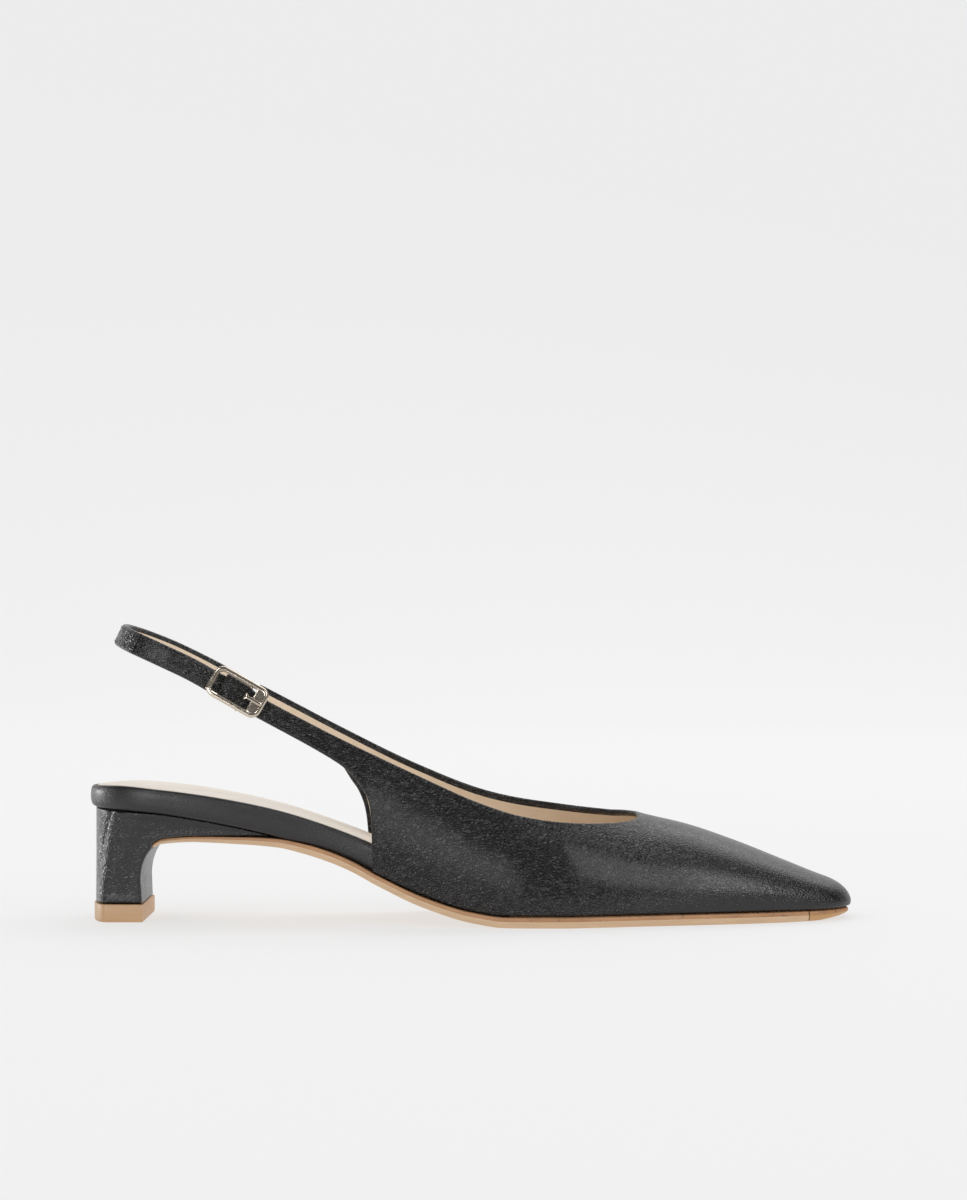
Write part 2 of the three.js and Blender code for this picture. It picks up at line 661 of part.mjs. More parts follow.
function heelBlock() {
  const base = LIFT + GAP;
  const levels = steps(12).map((t) => heelRing(lerp(base, SEAT_HEIGHT + 1, t), 0));
  const profile = new THREE.Shape();
  const backX = heelBack - HEEL_INSET;
  const breastTop = soleUnder(stationX(SOLE_END_AT));
  profile.moveTo(backX, base - GAP);
  profile.lineTo(heelBreast, base - GAP);
  profile.lineTo(heelBreast - BREAST_SLOPE, base + BREAST_RISE);
  const sweep = new THREE.QuadraticBezierCurve(
    new THREE.Vector2(heelBreast - BREAST_SLOPE, base + BREAST_RISE),
    new THREE.Vector2(heelBreast - BREAST_SLOPE / 2, breastTop - BREAST_CURVE),
    new THREE.Vector2(stationX(SOLE_END_AT), breastTop),
  );
  sweep.getPoints(6).slice(1).forEach((p) => profile.lineTo(p.x, p.y));
  steps(14).forEach((t) => {
    const x = lerp(stationX(SOLE_END_AT), stationX(WING_END_AT), t);
    profile.lineTo(x, soleTop(x) + GAP);
  });
  steps(16).toReversed().forEach((t) => {
    const x = lerp(backX, stationX(WING_END_AT), t);
    profile.lineTo(x, bedUnder(x) - GAP);
  });
  const block = new THREE.ExtrudeGeometry(profile, { depth: BALL_WIDTH, bevelEnabled: false });
  block.rotateX(Math.PI / 2);
  block.translate(0, BALL_WIDTH / 2, 0);
  return toGeometry(toSolid(loft(levels)).intersect(toSolid(block)));
}
function topLift() {
  const rings = [
    [0, LIFT_PROUD - 0.4],
    [0.4, LIFT_PROUD],
    [LIFT, LIFT_PROUD],
  ].map(([z, proud]) => heelRing(LIFT, proud).map((p) => p.clone().setZ(z)));
  return loft(rings);
}

// The buckle's own frame: along the strap to the toe, up across it, and out from the wall
const buckleX = stationX(BUCKLE_AT);
const buckleZ = slingHeight(BUCKLE_AT) * STRAP_TOP + BUCKLE_RAISE;
const buckleSpot = onSide(buckleX, buckleZ, LATERAL);
const strapAlong = new THREE.Vector3(Math.cos(tilt), 0, -Math.sin(tilt));
function wallUp(x, z, side) {
  const reach = strapUp.clone().multiplyScalar(STRAP_WIDTH / 2);
  const above = onSide(x + reach.x, z + reach.z, side);
  const below = onSide(x - reach.x, z - reach.z, side);
  return above.sub(below).normalize();
}
function strapFrameMatrix() {
  const ahead = buckleSpot.clone().addScaledVector(strapAlong, BUCKLE_LENGTH / 2);
  const behind = buckleSpot.clone().addScaledVector(strapAlong, -BUCKLE_LENGTH / 2);
  const along = onSide(ahead.x, ahead.z, LATERAL).sub(onSide(behind.x, behind.z, LATERAL)).normalize();
  const out = along.clone().cross(wallUp(buckleX, buckleZ, LATERAL)).normalize();
  const up = out.clone().cross(along).normalize();
  return new THREE.Matrix4().makeBasis(along, up, out).setPosition(buckleSpot);
}
const strapMatrix = strapFrameMatrix();
const turned = new THREE.Matrix4().makeRotationZ(-THREE.MathUtils.degToRad(BUCKLE_TURN));
const buckleMatrix = strapMatrix.clone().multiply(turned);
const barDepth = WALL + GAP + BAR_RADIUS + GAP + PRONG;
const inStrap = (along, up, out) => new THREE.Vector3(along, up, out).applyMatrix4(strapMatrix);

function roundedRect(length, width, radius) {
  const shape = new THREE.Shape();
  const x = length / 2 - radius;
  const y = width / 2 - radius;
  shape.absarc(x, y, radius, 0, Math.PI / 2);
  shape.absarc(-x, y, radius, Math.PI / 2, Math.PI);
  shape.absarc(-x, -y, radius, Math.PI, 1.5 * Math.PI);
  shape.absarc(x, -y, radius, 1.5 * Math.PI, 2 * Math.PI);
  return shape;
}
function slab(shape, from, depth) {
  const geometry = new THREE.ExtrudeGeometry(shape, { depth, bevelEnabled: false, curveSegments: 5 });
  return geometry.translate(0, 0, from);
}
function buckleFrame() {
  const ring = slab(roundedRect(BUCKLE_LENGTH, BUCKLE_WIDTH, BUCKLE_CORNER), TAB_OUT, BUCKLE_DEPTH);
  const innerWidth = BUCKLE_WIDTH - 2 * BUCKLE_SIDE;
  const innerShape = roundedRect(BUCKLE_LENGTH - 2 * BUCKLE_SIDE, innerWidth, BUCKLE_CORNER - BUCKLE_SIDE);
  const window = slab(innerShape, TAB_OUT - 1, BUCKLE_DEPTH + 2);
  const plateEnd = new THREE.BoxGeometry(PLATE_LENGTH, innerWidth + BUCKLE_SIDE, BUCKLE_DEPTH - PLATE_STEP);
  plateEnd.translate((BUCKLE_LENGTH - PLATE_LENGTH) / 2 - PLATE_STEP, 0, TAB_OUT + BUCKLE_DEPTH / 2);
  const bar = new THREE.CylinderGeometry(BAR_RADIUS, BAR_RADIUS, BUCKLE_WIDTH - LEG_WIDTH, 10);
  bar.translate(BAR_ALONG, 0, -barDepth);
  const clipped = toSolid(ring).intersect(toSolid(plateEnd));
  let solid = toSolid(ring).subtract(toSolid(window)).add(clipped).add(toSolid(bar));
  const legHeight = barDepth + BAR_RADIUS + TAB_OUT + BUCKLE_DEPTH / 2;
  for (const side of [-1, 1]) {
    const leg = new THREE.BoxGeometry(2 * BAR_RADIUS, LEG_WIDTH, legHeight);
    leg.translate(
      BAR_ALONG,
      (side * (BUCKLE_WIDTH - LEG_WIDTH)) / 2,
      TAB_OUT + BUCKLE_DEPTH / 2 - legHeight / 2,
    );
    solid = solid.add(toSolid(leg));
  }
  return toGeometry(solid).applyMatrix4(buckleMatrix);
}

// The prong: an eye round the bar and an arm that comes up through the tab onto the plate
const eyeRadius = BAR_RADIUS + GAP + PRONG;
const holeAlong = BAR_ALONG + HOLE_OFFSET;
function buckleProng() {
  const eye = new THREE.Shape().absarc(BAR_ALONG, -barDepth, eyeRadius, 0, 2 * Math.PI);
  eye.holes.push(new THREE.Path().absarc(BAR_ALONG, -barDepth, BAR_RADIUS + GAP, 0, 2 * Math.PI));
  const top = TAB_OUT + BUCKLE_DEPTH + GAP;
  const tip = (BUCKLE_LENGTH - PLATE_LENGTH) / 2 + PRONG_LAP;
  const thick = 1.2 * PRONG;
  const eyeTop = -barDepth + BAR_RADIUS + GAP;
  const arm = new THREE.Shape();
  arm.moveTo(holeAlong - PRONG, eyeTop + PRONG / 5);
  arm.lineTo(holeAlong + PRONG, eyeTop + PRONG / 5);
  arm.lineTo(holeAlong + PRONG, top - PRONG);
  arm.lineTo(holeAlong + 2.4 * PRONG, top);
  arm.lineTo(tip, top);
  arm.lineTo(tip, top + thick);
  arm.lineTo(holeAlong, top + thick);
  arm.lineTo(holeAlong - PRONG, top - PRONG / 2);
  const options = { depth: PRONG_WIDTH, bevelEnabled: false, curveSegments: 8 };
  const made = toSolid(new THREE.ExtrudeGeometry(eye, options)).add(
    toSolid(new THREE.ExtrudeGeometry(arm, options)),
  );
  const geometry = toGeometry(made);
  geometry.rotateX(Math.PI / 2);
  geometry.translate(0, PRONG_WIDTH / 2, 0);
  return geometry.applyMatrix4(buckleMatrix);
}
function prongHole() {
  const hole = new THREE.CylinderGeometry(PRONG_WIDTH, PRONG_WIDTH, 6 * WALL, 12);
  hole.rotateX(Math.PI / 2);
  hole.translate(holeAlong, 0, 0);
  return hole.applyMatrix4(buckleMatrix);
}

// The straps: a band whose width lies square to its sloping plane
function strapCurve() {
  const start = inStrap(BAR_ALONG - eyeRadius - GAP, 0, -barDepth);
  const lead = inStrap(BAR_ALONG - BUCKLE_LENGTH / 2, 0, -barDepth);
  const stub = stationX(STUB_END_AT);
  const stubZ = slingHeight(STUB_END_AT) * STRAP_TOP;
  const endSide = (x, z) => sideAt(x, z, MEDIAL) - WALL / 2;
  const rows = SLING_PATH.map((row) => {
    const z = slingHeight(row.at) * STRAP_TOP;
    return new THREE.Vector3(stationX(row.at), row.side * BALL_WIDTH, z);
  });
  const end = new THREE.Vector3(stub - GAP, endSide(stub, stubZ), stubZ);
  return new THREE.CatmullRomCurve3([start, lead, ...rows, end]);
}
const sling = strapCurve();
const startUp = wallUp(buckleX, buckleZ, LATERAL);
const endUp = wallUp(stationX(STUB_END_AT), slingHeight(STUB_END_AT) * STRAP_TOP, MEDIAL);
const bandUp = (u) =>
  strapUp.clone().lerp(startUp, smoothstep(0.3 - u, 0, 0.25)).lerp(endUp, smoothstep(u, 0.72, 0.98));
function strapBand(from, to, count) {
  const rings = steps(count).map((t) => {
    const u = lerp(from, to, t);
    const p = sling.getPointAt(u);
    const along = sling.getTangentAt(u);
    const out = along.clone().cross(bandUp(u)).normalize();
    const up = out.clone().cross(along).normalize();
    const corners = [
      [-0.5, 0.32],
      [-0.5, -0.32],
      [-0.42, -0.5],
      [0.42, -0.5],
      [0.5, -0.32],
      [0.5, 0.32],
      [0.42, 0.5],
      [-0.42, 0.5],
    ];
    return corners.map(([w, d]) =>
      p.clone().addScaledVector(up, w * STRAP_WIDTH).addScaledVector(out, d * STRAP),
    );
  });
  return loft(rings);
}

// Looks of the plain model
const finish = (color, roughness, metalness) => new THREE.MeshStandardMaterial({ color, roughness, metalness });
const leather = () => finish(0x17161a, 0.45, 0);
const metal = () => finish(0xc9b89c, 0.28, 0.9);

const group = new THREE.Group();
function add(name, geometry, material) {
  const mesh = new THREE.Mesh(geometry, material);
  mesh.name = name;
  group.add(mesh);
}

const seamGap = GAP / 2 / sling.getLength();
add("outsole", outsole(), finish(0xd9b184, 0.5, 0));
add("toe_tip", toeTip(), finish(0xc98e54, 0.55, 0));
add("upper", toGeometry(toSolid(upperShell()).subtract(toSolid(prongHole()))), leather());
add("insole", insole(), finish(0xeadfd2, 0.7, 0));
add("footbed", footbed(), leather());
add("heel", heelBlock(), leather());
add("top_lift", topLift(), finish(0xcd9f6e, 0.5, 0));
add("sling_strap", strapBand(SEAM_SHARE + seamGap, 1, 40), leather());
add("buckle_strap", strapBand(0, SEAM_SHARE - seamGap, 14), leather());
add("buckle_frame", buckleFrame(), metal());
add("buckle_prong", buckleProng(), metal());

// The origin lies under the middle of the whole shoe
const middleOfAll = new THREE.Box3().setFromObject(group).getCenter(new THREE.Vector3());
group.position.set(-middleOfAll.x, -middleOfAll.y, 0);

export default group;
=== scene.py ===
import math

import bpy
import numpy as np
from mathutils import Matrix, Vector


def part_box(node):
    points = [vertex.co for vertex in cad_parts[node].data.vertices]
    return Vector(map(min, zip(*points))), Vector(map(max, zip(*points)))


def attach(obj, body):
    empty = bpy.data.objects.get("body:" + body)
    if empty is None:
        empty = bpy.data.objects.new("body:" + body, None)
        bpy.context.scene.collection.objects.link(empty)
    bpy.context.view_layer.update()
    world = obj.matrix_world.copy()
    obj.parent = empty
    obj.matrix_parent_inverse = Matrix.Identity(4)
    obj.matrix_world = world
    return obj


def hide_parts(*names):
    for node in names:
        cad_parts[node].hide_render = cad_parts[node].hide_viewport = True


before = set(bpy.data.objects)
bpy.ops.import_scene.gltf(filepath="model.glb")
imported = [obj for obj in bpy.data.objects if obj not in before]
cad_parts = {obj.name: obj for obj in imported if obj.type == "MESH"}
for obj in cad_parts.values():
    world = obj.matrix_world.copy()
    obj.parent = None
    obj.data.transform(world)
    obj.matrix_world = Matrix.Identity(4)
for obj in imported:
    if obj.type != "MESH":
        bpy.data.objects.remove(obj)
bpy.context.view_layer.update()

# The part's own sizes, in millimetres
LENGTH = 260.5
BALL_WIDTH = 76.0
THROAT_HEIGHT = 36.0
STRAP_TOP = 101.2
SEAT_HEIGHT = 38.6
SOLE = 3.6
WALL = 1.6
SOCK = 1.5
SOCK_PROUD = 0.2
RIM = 1.7
RIM_SLOPE = 0.2
SEAT_TILT = 0.9
SOCK_TOE_ROOM = 5.2
TUCK = 1.3
TOE_TUCK = 0.5
TUCK_HEIGHT = 7.0
TOE_TUCK_HEIGHT = 2.4
WELT = 0.6
TOE_WELT = 1.5
GAP = 0.3
TOE_DEPTH = 16.0
TOE_SHIFT = 3.0
THROAT_CORNER = 5.2
THROAT_BOW = 0.8
NOSE_DEPTH = 9.0
SEAT_DEPTH = 27.0
HEEL_LENGTH = 17.2
HEEL_WIDTH = 34.0
HEEL_TOP_WIDTH = 51.0
HEEL_BULGE = 5.5
LIFT = 6.0
LIFT_PROUD = 0.5
STRAP_WIDTH = 7.5
STRAP = 1.9
STRAP_TILT = math.radians(26)
BUCKLE_LENGTH = 20.4
BUCKLE_WIDTH = 11.2
BUCKLE_SIDE = 1.8
BUCKLE_CORNER = 3.3
BUCKLE_DEPTH = 1.3
BUCKLE_TURN = math.radians(3.5)
PLATE_LENGTH = 4.4
BAR_RADIUS = 0.5
BAR_ALONG = 2.4
PRONG_WIDTH = 1.2
PRONG = 0.5
FOOT_BACK_AT = {-1: 0.3725, 1: 0.363}
RIM_END_AT = 0.41
RECESS_FADE_AT = 0.44
STRAP_FOOT_AT = 0.285
LIP_WAIST_AT = 0.447
ARCH_FOOT_AT = 0.73
THROAT_AT = 0.718
TOE_JOINT_AT = 0.938
BED_END_AT = 0.55
SOLE_END_AT = 0.0873
WING_END_AT = 0.238
TOE_START_AT = 0.88
TAB_END_AT = 0.172
STUB_END_AT = 0.204
BUCKLE_AT = 0.1994
BUCKLE_RAISE = 0.65
TAB_TRIM = 0.05
TAB_RISE = 1.4
SEAM_SHARE = 0.316
TOE_POWER = 3.0
SEAT_POWER = 2.15
NOSE_POWER = 2.8
FLAT_SHARE = 0.06
TAB_OUT = 0.45

# Station, outer and inner half width of the last as shares of the ball width
OUTLINE = np.array([
    (0, 0.352, 0.346), (0.1, 0.356, 0.349), (0.19, 0.362, 0.324), (0.27, 0.36, 0.295),
    (0.35, 0.37, 0.281), (0.42, 0.408, 0.305), (0.5, 0.464, 0.368), (0.577, 0.501, 0.446),
    (0.615, 0.502, 0.479), (0.665, 0.473, 0.496), (0.715, 0.43, 0.473), (0.8, 0.364, 0.386),
    (0.87, 0.305, 0.326), (0.934, 0.232, 0.27), (1, 0.145, 0.224),
])
# Station, ridge height as a share of the throat height, squareness of the section
RIDGE = np.array([
    (0.14, 3.5, 2.3), (0.27, 2.83, 2.3), (0.346, 2.42, 2.3), (0.5, 1.74, 2.3), (0.61, 1.31, 2.25),
    (0.718, 1.0, 2.2), (0.785, 0.88, 2.3), (0.848, 0.724, 2.45), (0.911, 0.542, 2.6),
    (0.96, 0.4, 2.7), (1, 0.3, 2.8),
])
# Station, rise of the outsole's top as a share of the seat height, thickness share
SOLE_LINE = np.array([
    (0.0873, 0.598, 0.45), (0.1, 0.639, 0.5), (0.1453, 0.663, 0.55), (0.21, 0.66, 0.72),
    (0.25, 0.648, 0.84), (0.285, 0.603, 0.95), (0.3161, 0.541, 1), (0.3468, 0.455, 1),
    (0.3779, 0.344, 1), (0.4401, 0.157, 1), (0.5012, 0.037, 1), (0.545, 0, 1), (0.89, 0, 1),
    (0.945, 0, 0.95), (0.975, 0.003, 0.72), (1, 0.008, 0.4),
])
SEAT_LINE = np.array([
    (0, 1), (0.089, 0.972), (0.15, 0.912), (0.196, 0.852), (0.25, 0.762), (0.3, 0.66),
    (0.36, 0.4), (0.42, 0),
])
BED_LINE = np.array([
    (0, 1.088), (0.045, 1.1), (0.1, 1.07), (0.15, 1.028), (0.2, 0.969), (0.25, 0.893),
    (0.3, 0.79), (0.3468, 0.676), (0.3725, 0.604), (0.42, 0.453), (0.47, 0.278), (0.515, 0.137),
    (0.55, 0.048), (0.59, 0),
])
SHANK = np.array([(0.0873, 0.72), (0.15, 0.79), (0.25, 0.87), (0.34, 0.93), (0.42, 1)])
TOPLINE = np.array([
    (0.1464, 0.8755, 0.8755), (0.2405, 0.739, 0.752), (0.3322, 0.6166, 0.63),
    (0.4244, 0.505, 0.514), (0.5165, 0.403, 0.42), (0.5626, 0.367, 0.392), (0.6086, 0.347, 0.3745),
    (0.6555, 0.338, 0.3605), (0.7, 0.336, 0.352),
])
# Station and height of the outer quarter's lower edge, and how much further back the inner one lies
BACK_EDGE = np.array([
    (0.155, 0.781, 0), (0.2247, 0.685, 0), (0.285, 0.602, 0.005), (0.3235, 0.5445, 0.015),
    (0.3442, 0.504, 0.0185), (0.3588, 0.4565, 0.021), (0.368, 0.409, 0.0185), (0.3718, 0.336, 0.0138),
])
SLING_LINE = np.array([
    (0.0399, 0.958), (0.0681, 0.928), (0.1004, 0.892), (0.1622, 0.814), (0.2247, 0.726),
])
SLING_PATH = np.array([
    (0.14, -0.292), (0.1, -0.299), (0.0645, -0.245), (0.0445, -0.13), (0.0399, 0),
    (0.0445, 0.13), (0.0645, 0.245), (0.1, 0.3), (0.155, 0.292),
])

SEAT_X = -LENGTH / 2
LATERAL = -1
MEDIAL = 1


def station_x(at):
    return SEAT_X + at * LENGTH


def station_at(x):
    return (x - SEAT_X) / LENGTH


def smoothstep(x, low, high):
    t = np.clip((x - low) / (high - low), 0, 1)
    return t * t * (3 - 2 * t)


def mix(a, b, t):
    return a + (b - a) * t


# A smooth curve through one column of a table, with no overshoot between its rows
def curve(table, column=1):
    xs = table[:, 0]
    ys = table[:, column]
    slopes = np.diff(ys) / np.diff(xs)
    before = np.concatenate([slopes[:1], slopes])
    after = np.concatenate([slopes, slopes[-1:]])
    same = before * after > 0
    total = np.where(same, before + after, 1)
    tangents = np.where(same, 2 * before * after / total, 0)

    def value(at):
        at = np.clip(at, xs[0], xs[-1])
        i = np.clip(np.searchsorted(xs, at) - 1, 0, len(xs) - 2)
        step = xs[i + 1] - xs[i]
        t = (at - xs[i]) / step
        bend = (1 - t) ** 2 * t * step * tangents[i] - t * t * (1 - t) * step * tangents[i + 1]
        return mix(ys[i], ys[i + 1], t * t * (3 - 2 * t)) + bend

    return value


outline_curves = {LATERAL: curve(OUTLINE, 1), MEDIAL: curve(OUTLINE, 2)}
topline_curves = {LATERAL: curve(TOPLINE, 1), MEDIAL: curve(TOPLINE, 2)}
ridge_share = curve(RIDGE, 1)
squareness = curve(RIDGE, 2)
sole_rise = curve(SOLE_LINE, 1)
sole_thin = curve(SOLE_LINE, 2)
seat_under = curve(SEAT_LINE)
bed_rise = curve(BED_LINE)
shank_narrow = curve(SHANK)
sling_height = curve(SLING_LINE)


def sole_top(x, y=0):
    return SOLE + SEAT_HEIGHT * sole_rise(station_at(x))


def sole_under(x, y=0):
    return sole_top(x) - SOLE * sole_thin(station_at(x))


def bed_under(x, y=0):
    return np.maximum(SEAT_HEIGHT * seat_under(station_at(x)), sole_top(x) + GAP)


# The sock lies in a recess of the footbed, inside a rim that sinks once the upper covers it
def bed_line(x, y):
    lean = SEAT_TILT * (1 - smoothstep(station_at(x), RIM_END_AT, BED_END_AT))
    half = BALL_WIDTH / 3
    return SOLE + GAP + SEAT_HEIGHT * bed_rise(station_at(x)) - lean * smoothstep(y, -half, half)


def bed_floor(x, y):
    recess = (GAP + SOCK - SOCK_PROUD) * (1 - smoothstep(station_at(x), RECESS_FADE_AT, BED_END_AT))
    return bed_line(x, y) - recess


def bed_top(x, y):
    sink = smoothstep(station_at(x), FOOT_BACK_AT[LATERAL], RIM_END_AT)
    return mix(bed_line(x, y), bed_floor(x, y), sink)


def sock_under(x, y):
    return np.maximum(bed_floor(x, y), sole_top(x)) + GAP


def closing(away, depth, power):
    return (1 - np.clip(1 - away / depth, 0, 1) ** power) ** (1 / power)


def middle(x):
    return TOE_SHIFT * smoothstep(station_at(x), 0.5, 0.93)


def edge(x, side):
    outer = outline_curves[LATERAL](station_at(x))
    inner = outline_curves[MEDIAL](station_at(x))
    full = side * np.where(np.asarray(side) < 0, outer, inner) * BALL_WIDTH
    toe = closing(station_x(1) - x, TOE_DEPTH, TOE_POWER)
    seat = closing(x - SEAT_X, SEAT_DEPTH, SEAT_POWER)
    return middle(x) + (full - middle(x)) * toe * seat


def section(x):
    low = sole_top(x) + GAP
    nose = closing(station_x(1) - x, NOSE_DEPTH, NOSE_POWER)
    ridge = low + (THROAT_HEIGHT * ridge_share(station_at(x)) - low) * nose
    return low, ridge, squareness(station_at(x))


def height_at(x, y):
    low, ridge, square = section(x)
    side = np.where(y < middle(x), LATERAL, MEDIAL)
    half = edge(x, side) - middle(x)
    reach = np.clip((y - middle(x)) / np.where(np.abs(half) < 1e-9, 1e-9, half), 0, 1)
    return low + (ridge - low) * (1 - reach**square) ** (1 / square)


def side_at(x, z, side):
    low, ridge, square = section(x)
    rise = np.clip((z - low) / np.maximum(ridge - low, 1e-9), 0, 1)
    return middle(x) + (edge(x, side) - middle(x)) * (1 - rise**square) ** (1 / square)


def on_side(x, z, side):
    return np.stack([x, side_at(x, z, side), z], -1)


def on_top(x, y):
    return np.stack([x, y, height_at(x, y)], -1)


def unit(v):
    return v / np.maximum(np.linalg.norm(v, axis=-1, keepdims=True), 1e-12)


# Points at given shares or lengths along one line
def lengths_of(points):
    return np.concatenate([[0], np.cumsum(np.linalg.norm(np.diff(points, axis=0), axis=1))])


def along_line(points, shares):
    lengths = lengths_of(points)
    goal = np.clip(shares, 0, 1) * lengths[-1]
    return np.stack([np.interp(goal, lengths, points[:, k]) for k in range(points.shape[1])], -1)


# The smooth line through a few points, as the part draws it
def through(points, count=60, even=False):
    points = np.asarray(points, float)
    last = len(points) - 1
    first = points[0] if even else 2 * points[0] - points[1]
    final = points[last] if even else 2 * points[last] - points[last - 1]
    padded = np.vstack([first, points, final])
    t = np.linspace(0, 1, count, endpoint=False)[:, None]
    out = []
    for i in range(last):
        p0, p1, p2, p3 = padded[i:i + 4]
        if even:
            start = (p2 - p0) / 2
            end = (p3 - p1) / 2
        else:
            d0, d1, d2 = (np.linalg.norm(b - a) ** 0.5 for a, b in ((p0, p1), (p1, p2), (p2, p3)))
            start = ((p1 - p0) / d0 - (p2 - p0) / (d0 + d1) + (p2 - p1) / d1) * d1
            end = ((p2 - p1) / d1 - (p3 - p1) / (d1 + d2) + (p3 - p2) / d2) * d1
        c2 = 3 * (p2 - p1) - 2 * start - end
        c3 = 2 * (p1 - p2) + start + end
        out.append(p1 + start * t + c2 * t**2 + c3 * t**3)
    out.append(points[last:last + 1])
    return np.vstack(out)


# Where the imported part's frame lies against these sizes
outsole_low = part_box("outsole")[0]
heel_low, heel_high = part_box("heel")
SHIFT = np.array([
    outsole_low.x * 1000 - station_x(SOLE_END_AT),
    (heel_low.y + heel_high.y) * 500,
    0,
])


def to_metres(points):
    return (np.asarray(points, float) + SHIFT) / 1000


def placed(name, data):
    obj = bpy.data.objects.new(name, data)
    bpy.context.scene.collection.objects.link(obj)
    return obj


# Pieces from points in millimetres
def make(name, verts, faces, materials, slot, replaces=(), picks=None):
    mesh = bpy.data.meshes.new(name)
    mesh.from_pydata(to_metres(verts).tolist(), [], [list(map(int, f)) for f in faces])
    for material in materials:
        mesh.materials.append(material)
    if picks is not None:
        mesh.polygons.foreach_set("material_index", np.asarray(picks, np.int32))
    mesh.polygons.foreach_set("use_smooth", np.full(len(mesh.polygons), True))
    mesh.validate()
    mesh.update()
    obj = placed(name, mesh)
    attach(obj, "root")
    if replaces:
        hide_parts(*replaces)
    return obj


def grid_faces(rows, cols):
    across = np.arange(cols)
    nexts = (across + 1) % cols
    faces = []
    for i in range(rows - 1):
        a = i * cols + across
        b = i * cols + nexts
        faces.append(np.stack([a, b, b + cols, a + cols], -1))
    return np.vstack(faces)


# A closed solid through rings of paired points
def loft(rings):
    rows, cols = rings.shape[:2]
    faces = grid_faces(rows, cols).tolist()
    end = (rows - 1) * cols
    for k in range(cols // 2 - 1):
        faces.append([k, cols - 1 - k, cols - 2 - k, k + 1])
        faces.append([end + k, end + k + 1, end + cols - 2 - k, end + cols - 1 - k])
    return outward(rings.reshape(-1, 3), faces)


def outward(verts, faces):
    volume = 0
    for f in faces:
        a, b, c = verts[f[0]], verts[f[1]], verts[f[2]]
        volume += np.dot(a, np.cross(b, c))
        if len(f) == 4:
            volume += np.dot(a, np.cross(c, verts[f[3]]))
    if volume < 0:
        faces = [list(reversed(f)) for f in faces]
    return verts, faces


# Node materials
class Shader:
    def __init__(self, name):
        self.material = bpy.data.materials.new(name)
        self.material.use_nodes = True
        self.tree = self.material.node_tree
        self.bsdf = self.tree.nodes["Principled BSDF"]
        self.coords = self.tree.nodes.new("ShaderNodeTexCoord").outputs["Object"]

    def node(self, kind, inputs=None, **settings):
        made = self.tree.nodes.new(kind)
        for key, value in settings.items():
            setattr(made, key, value)
        for key, value in (inputs or {}).items():
            self.put(made.inputs[key], value)
        return made

    def put(self, socket, value):
        if isinstance(value, bpy.types.NodeSocket):
            self.tree.links.new(value, socket)
        else:
            socket.default_value = value

    def set(self, **values):
        for key, value in values.items():
            self.put(self.bsdf.inputs[key.replace("_", " ")], value)

    def stretched(self, scale):
        return self.node("ShaderNodeMapping", {"Vector": self.coords, "Scale": scale}).outputs[0]

    def noise(self, scale, detail=3.0, roughness=0.5, stretch=None):
        inputs = {
            "Vector": self.stretched(stretch) if stretch else self.coords,
            "Scale": scale,
            "Detail": detail,
            "Roughness": roughness,
        }
        return self.node("ShaderNodeTexNoise", inputs).outputs["Fac"]

    def cells(self, scale, vector=None):
        inputs = {"Vector": vector or self.coords, "Scale": scale}
        return self.node("ShaderNodeTexVoronoi", inputs, feature="DISTANCE_TO_EDGE").outputs["Distance"]

    def along_x(self):
        return self.node("ShaderNodeSeparateXYZ", {"Vector": self.coords}).outputs[0]

    def vector_math(self, operation, inputs):
        return self.node("ShaderNodeVectorMath", inputs, operation=operation).outputs[0]

    def spread(self, value, low, high, out_low=0.0, out_high=1.0):
        inputs = {"Value": value, 1: low, 2: high, 3: out_low, 4: out_high}
        return self.node("ShaderNodeMapRange", inputs).outputs[0]

    def math(self, operation, a, b=0.0):
        made = self.node("ShaderNodeMath", {0: a, 1: b}, operation=operation)
        return made.outputs[0]

    def blend(self, factor, a, b):
        made = self.node("ShaderNodeMix", {"Factor": factor}, data_type="RGBA")
        self.put(made.inputs[6], a)
        self.put(made.inputs[7], b)
        return made.outputs[2]

    # Two tones mixed by a soft noise
    def tones(self, scale, detail, dark, light):
        return self.blend(self.spread(self.noise(scale, detail), 0.3, 0.7), dark, light)

    def bump(self, *layers):
        normal = None
        for height, strength, distance in layers:
            inputs = {"Height": height, "Strength": strength, "Distance": distance}
            if normal is not None:
                inputs["Normal"] = normal
            normal = self.node("ShaderNodeBump", inputs).outputs[0]
        self.put(self.bsdf.inputs["Normal"], normal)


def rgb(r, g, b):
    return (r, g, b, 1.0)


# Colours: the darker and the lighter tone of each material
# Black: the darker tone is painted shade along the creases and between the pebbles, the lighter one goes on
# the raised tops
BLACK_AND_CREASE_SHADE = rgb(0.0015, 0.0012, 0.0014), rgb(0.026, 0.023, 0.0255)
LINING_TONES = rgb(0.84, 0.67, 0.49), rgb(0.90, 0.74, 0.56)
SOCK_TONES = rgb(0.80, 0.725, 0.64), rgb(0.87, 0.80, 0.72)
SOLE_TONES = rgb(0.63, 0.42, 0.25), rgb(0.72, 0.505, 0.315)
STRIP_TONES = rgb(0.44, 0.215, 0.09), rgb(0.54, 0.28, 0.125)
TOE_TONES = rgb(0.52, 0.28, 0.11), rgb(0.61, 0.35, 0.15)
LIFT_TONES = rgb(0.55, 0.33, 0.165), rgb(0.62, 0.38, 0.2)
METAL_TONES = rgb(0.66, 0.575, 0.47), rgb(0.74, 0.655, 0.55)
THREAD_TONES = rgb(0.02, 0.02, 0.02), rgb(0.05, 0.05, 0.05)
CEMENT = rgb(0.06, 0.04, 0.035)
PAPER = rgb(0.26, 0.26, 0.26)
WHITE = rgb(1, 1, 1)

# The black leather's creases and pebbles, whose colour carries painted shade: cells to the metre, the bend
# of its creases and where they fade, in metres
CREASE_CELLS = 700
PEBBLE_CELLS = 1100
CREASE_BEND = 0.003
GRAIN_FADE = (0.03, 0.08)
# Where the line of cement begins and is full, in metres
CEMENT_FADE = (-0.005, 0.03)
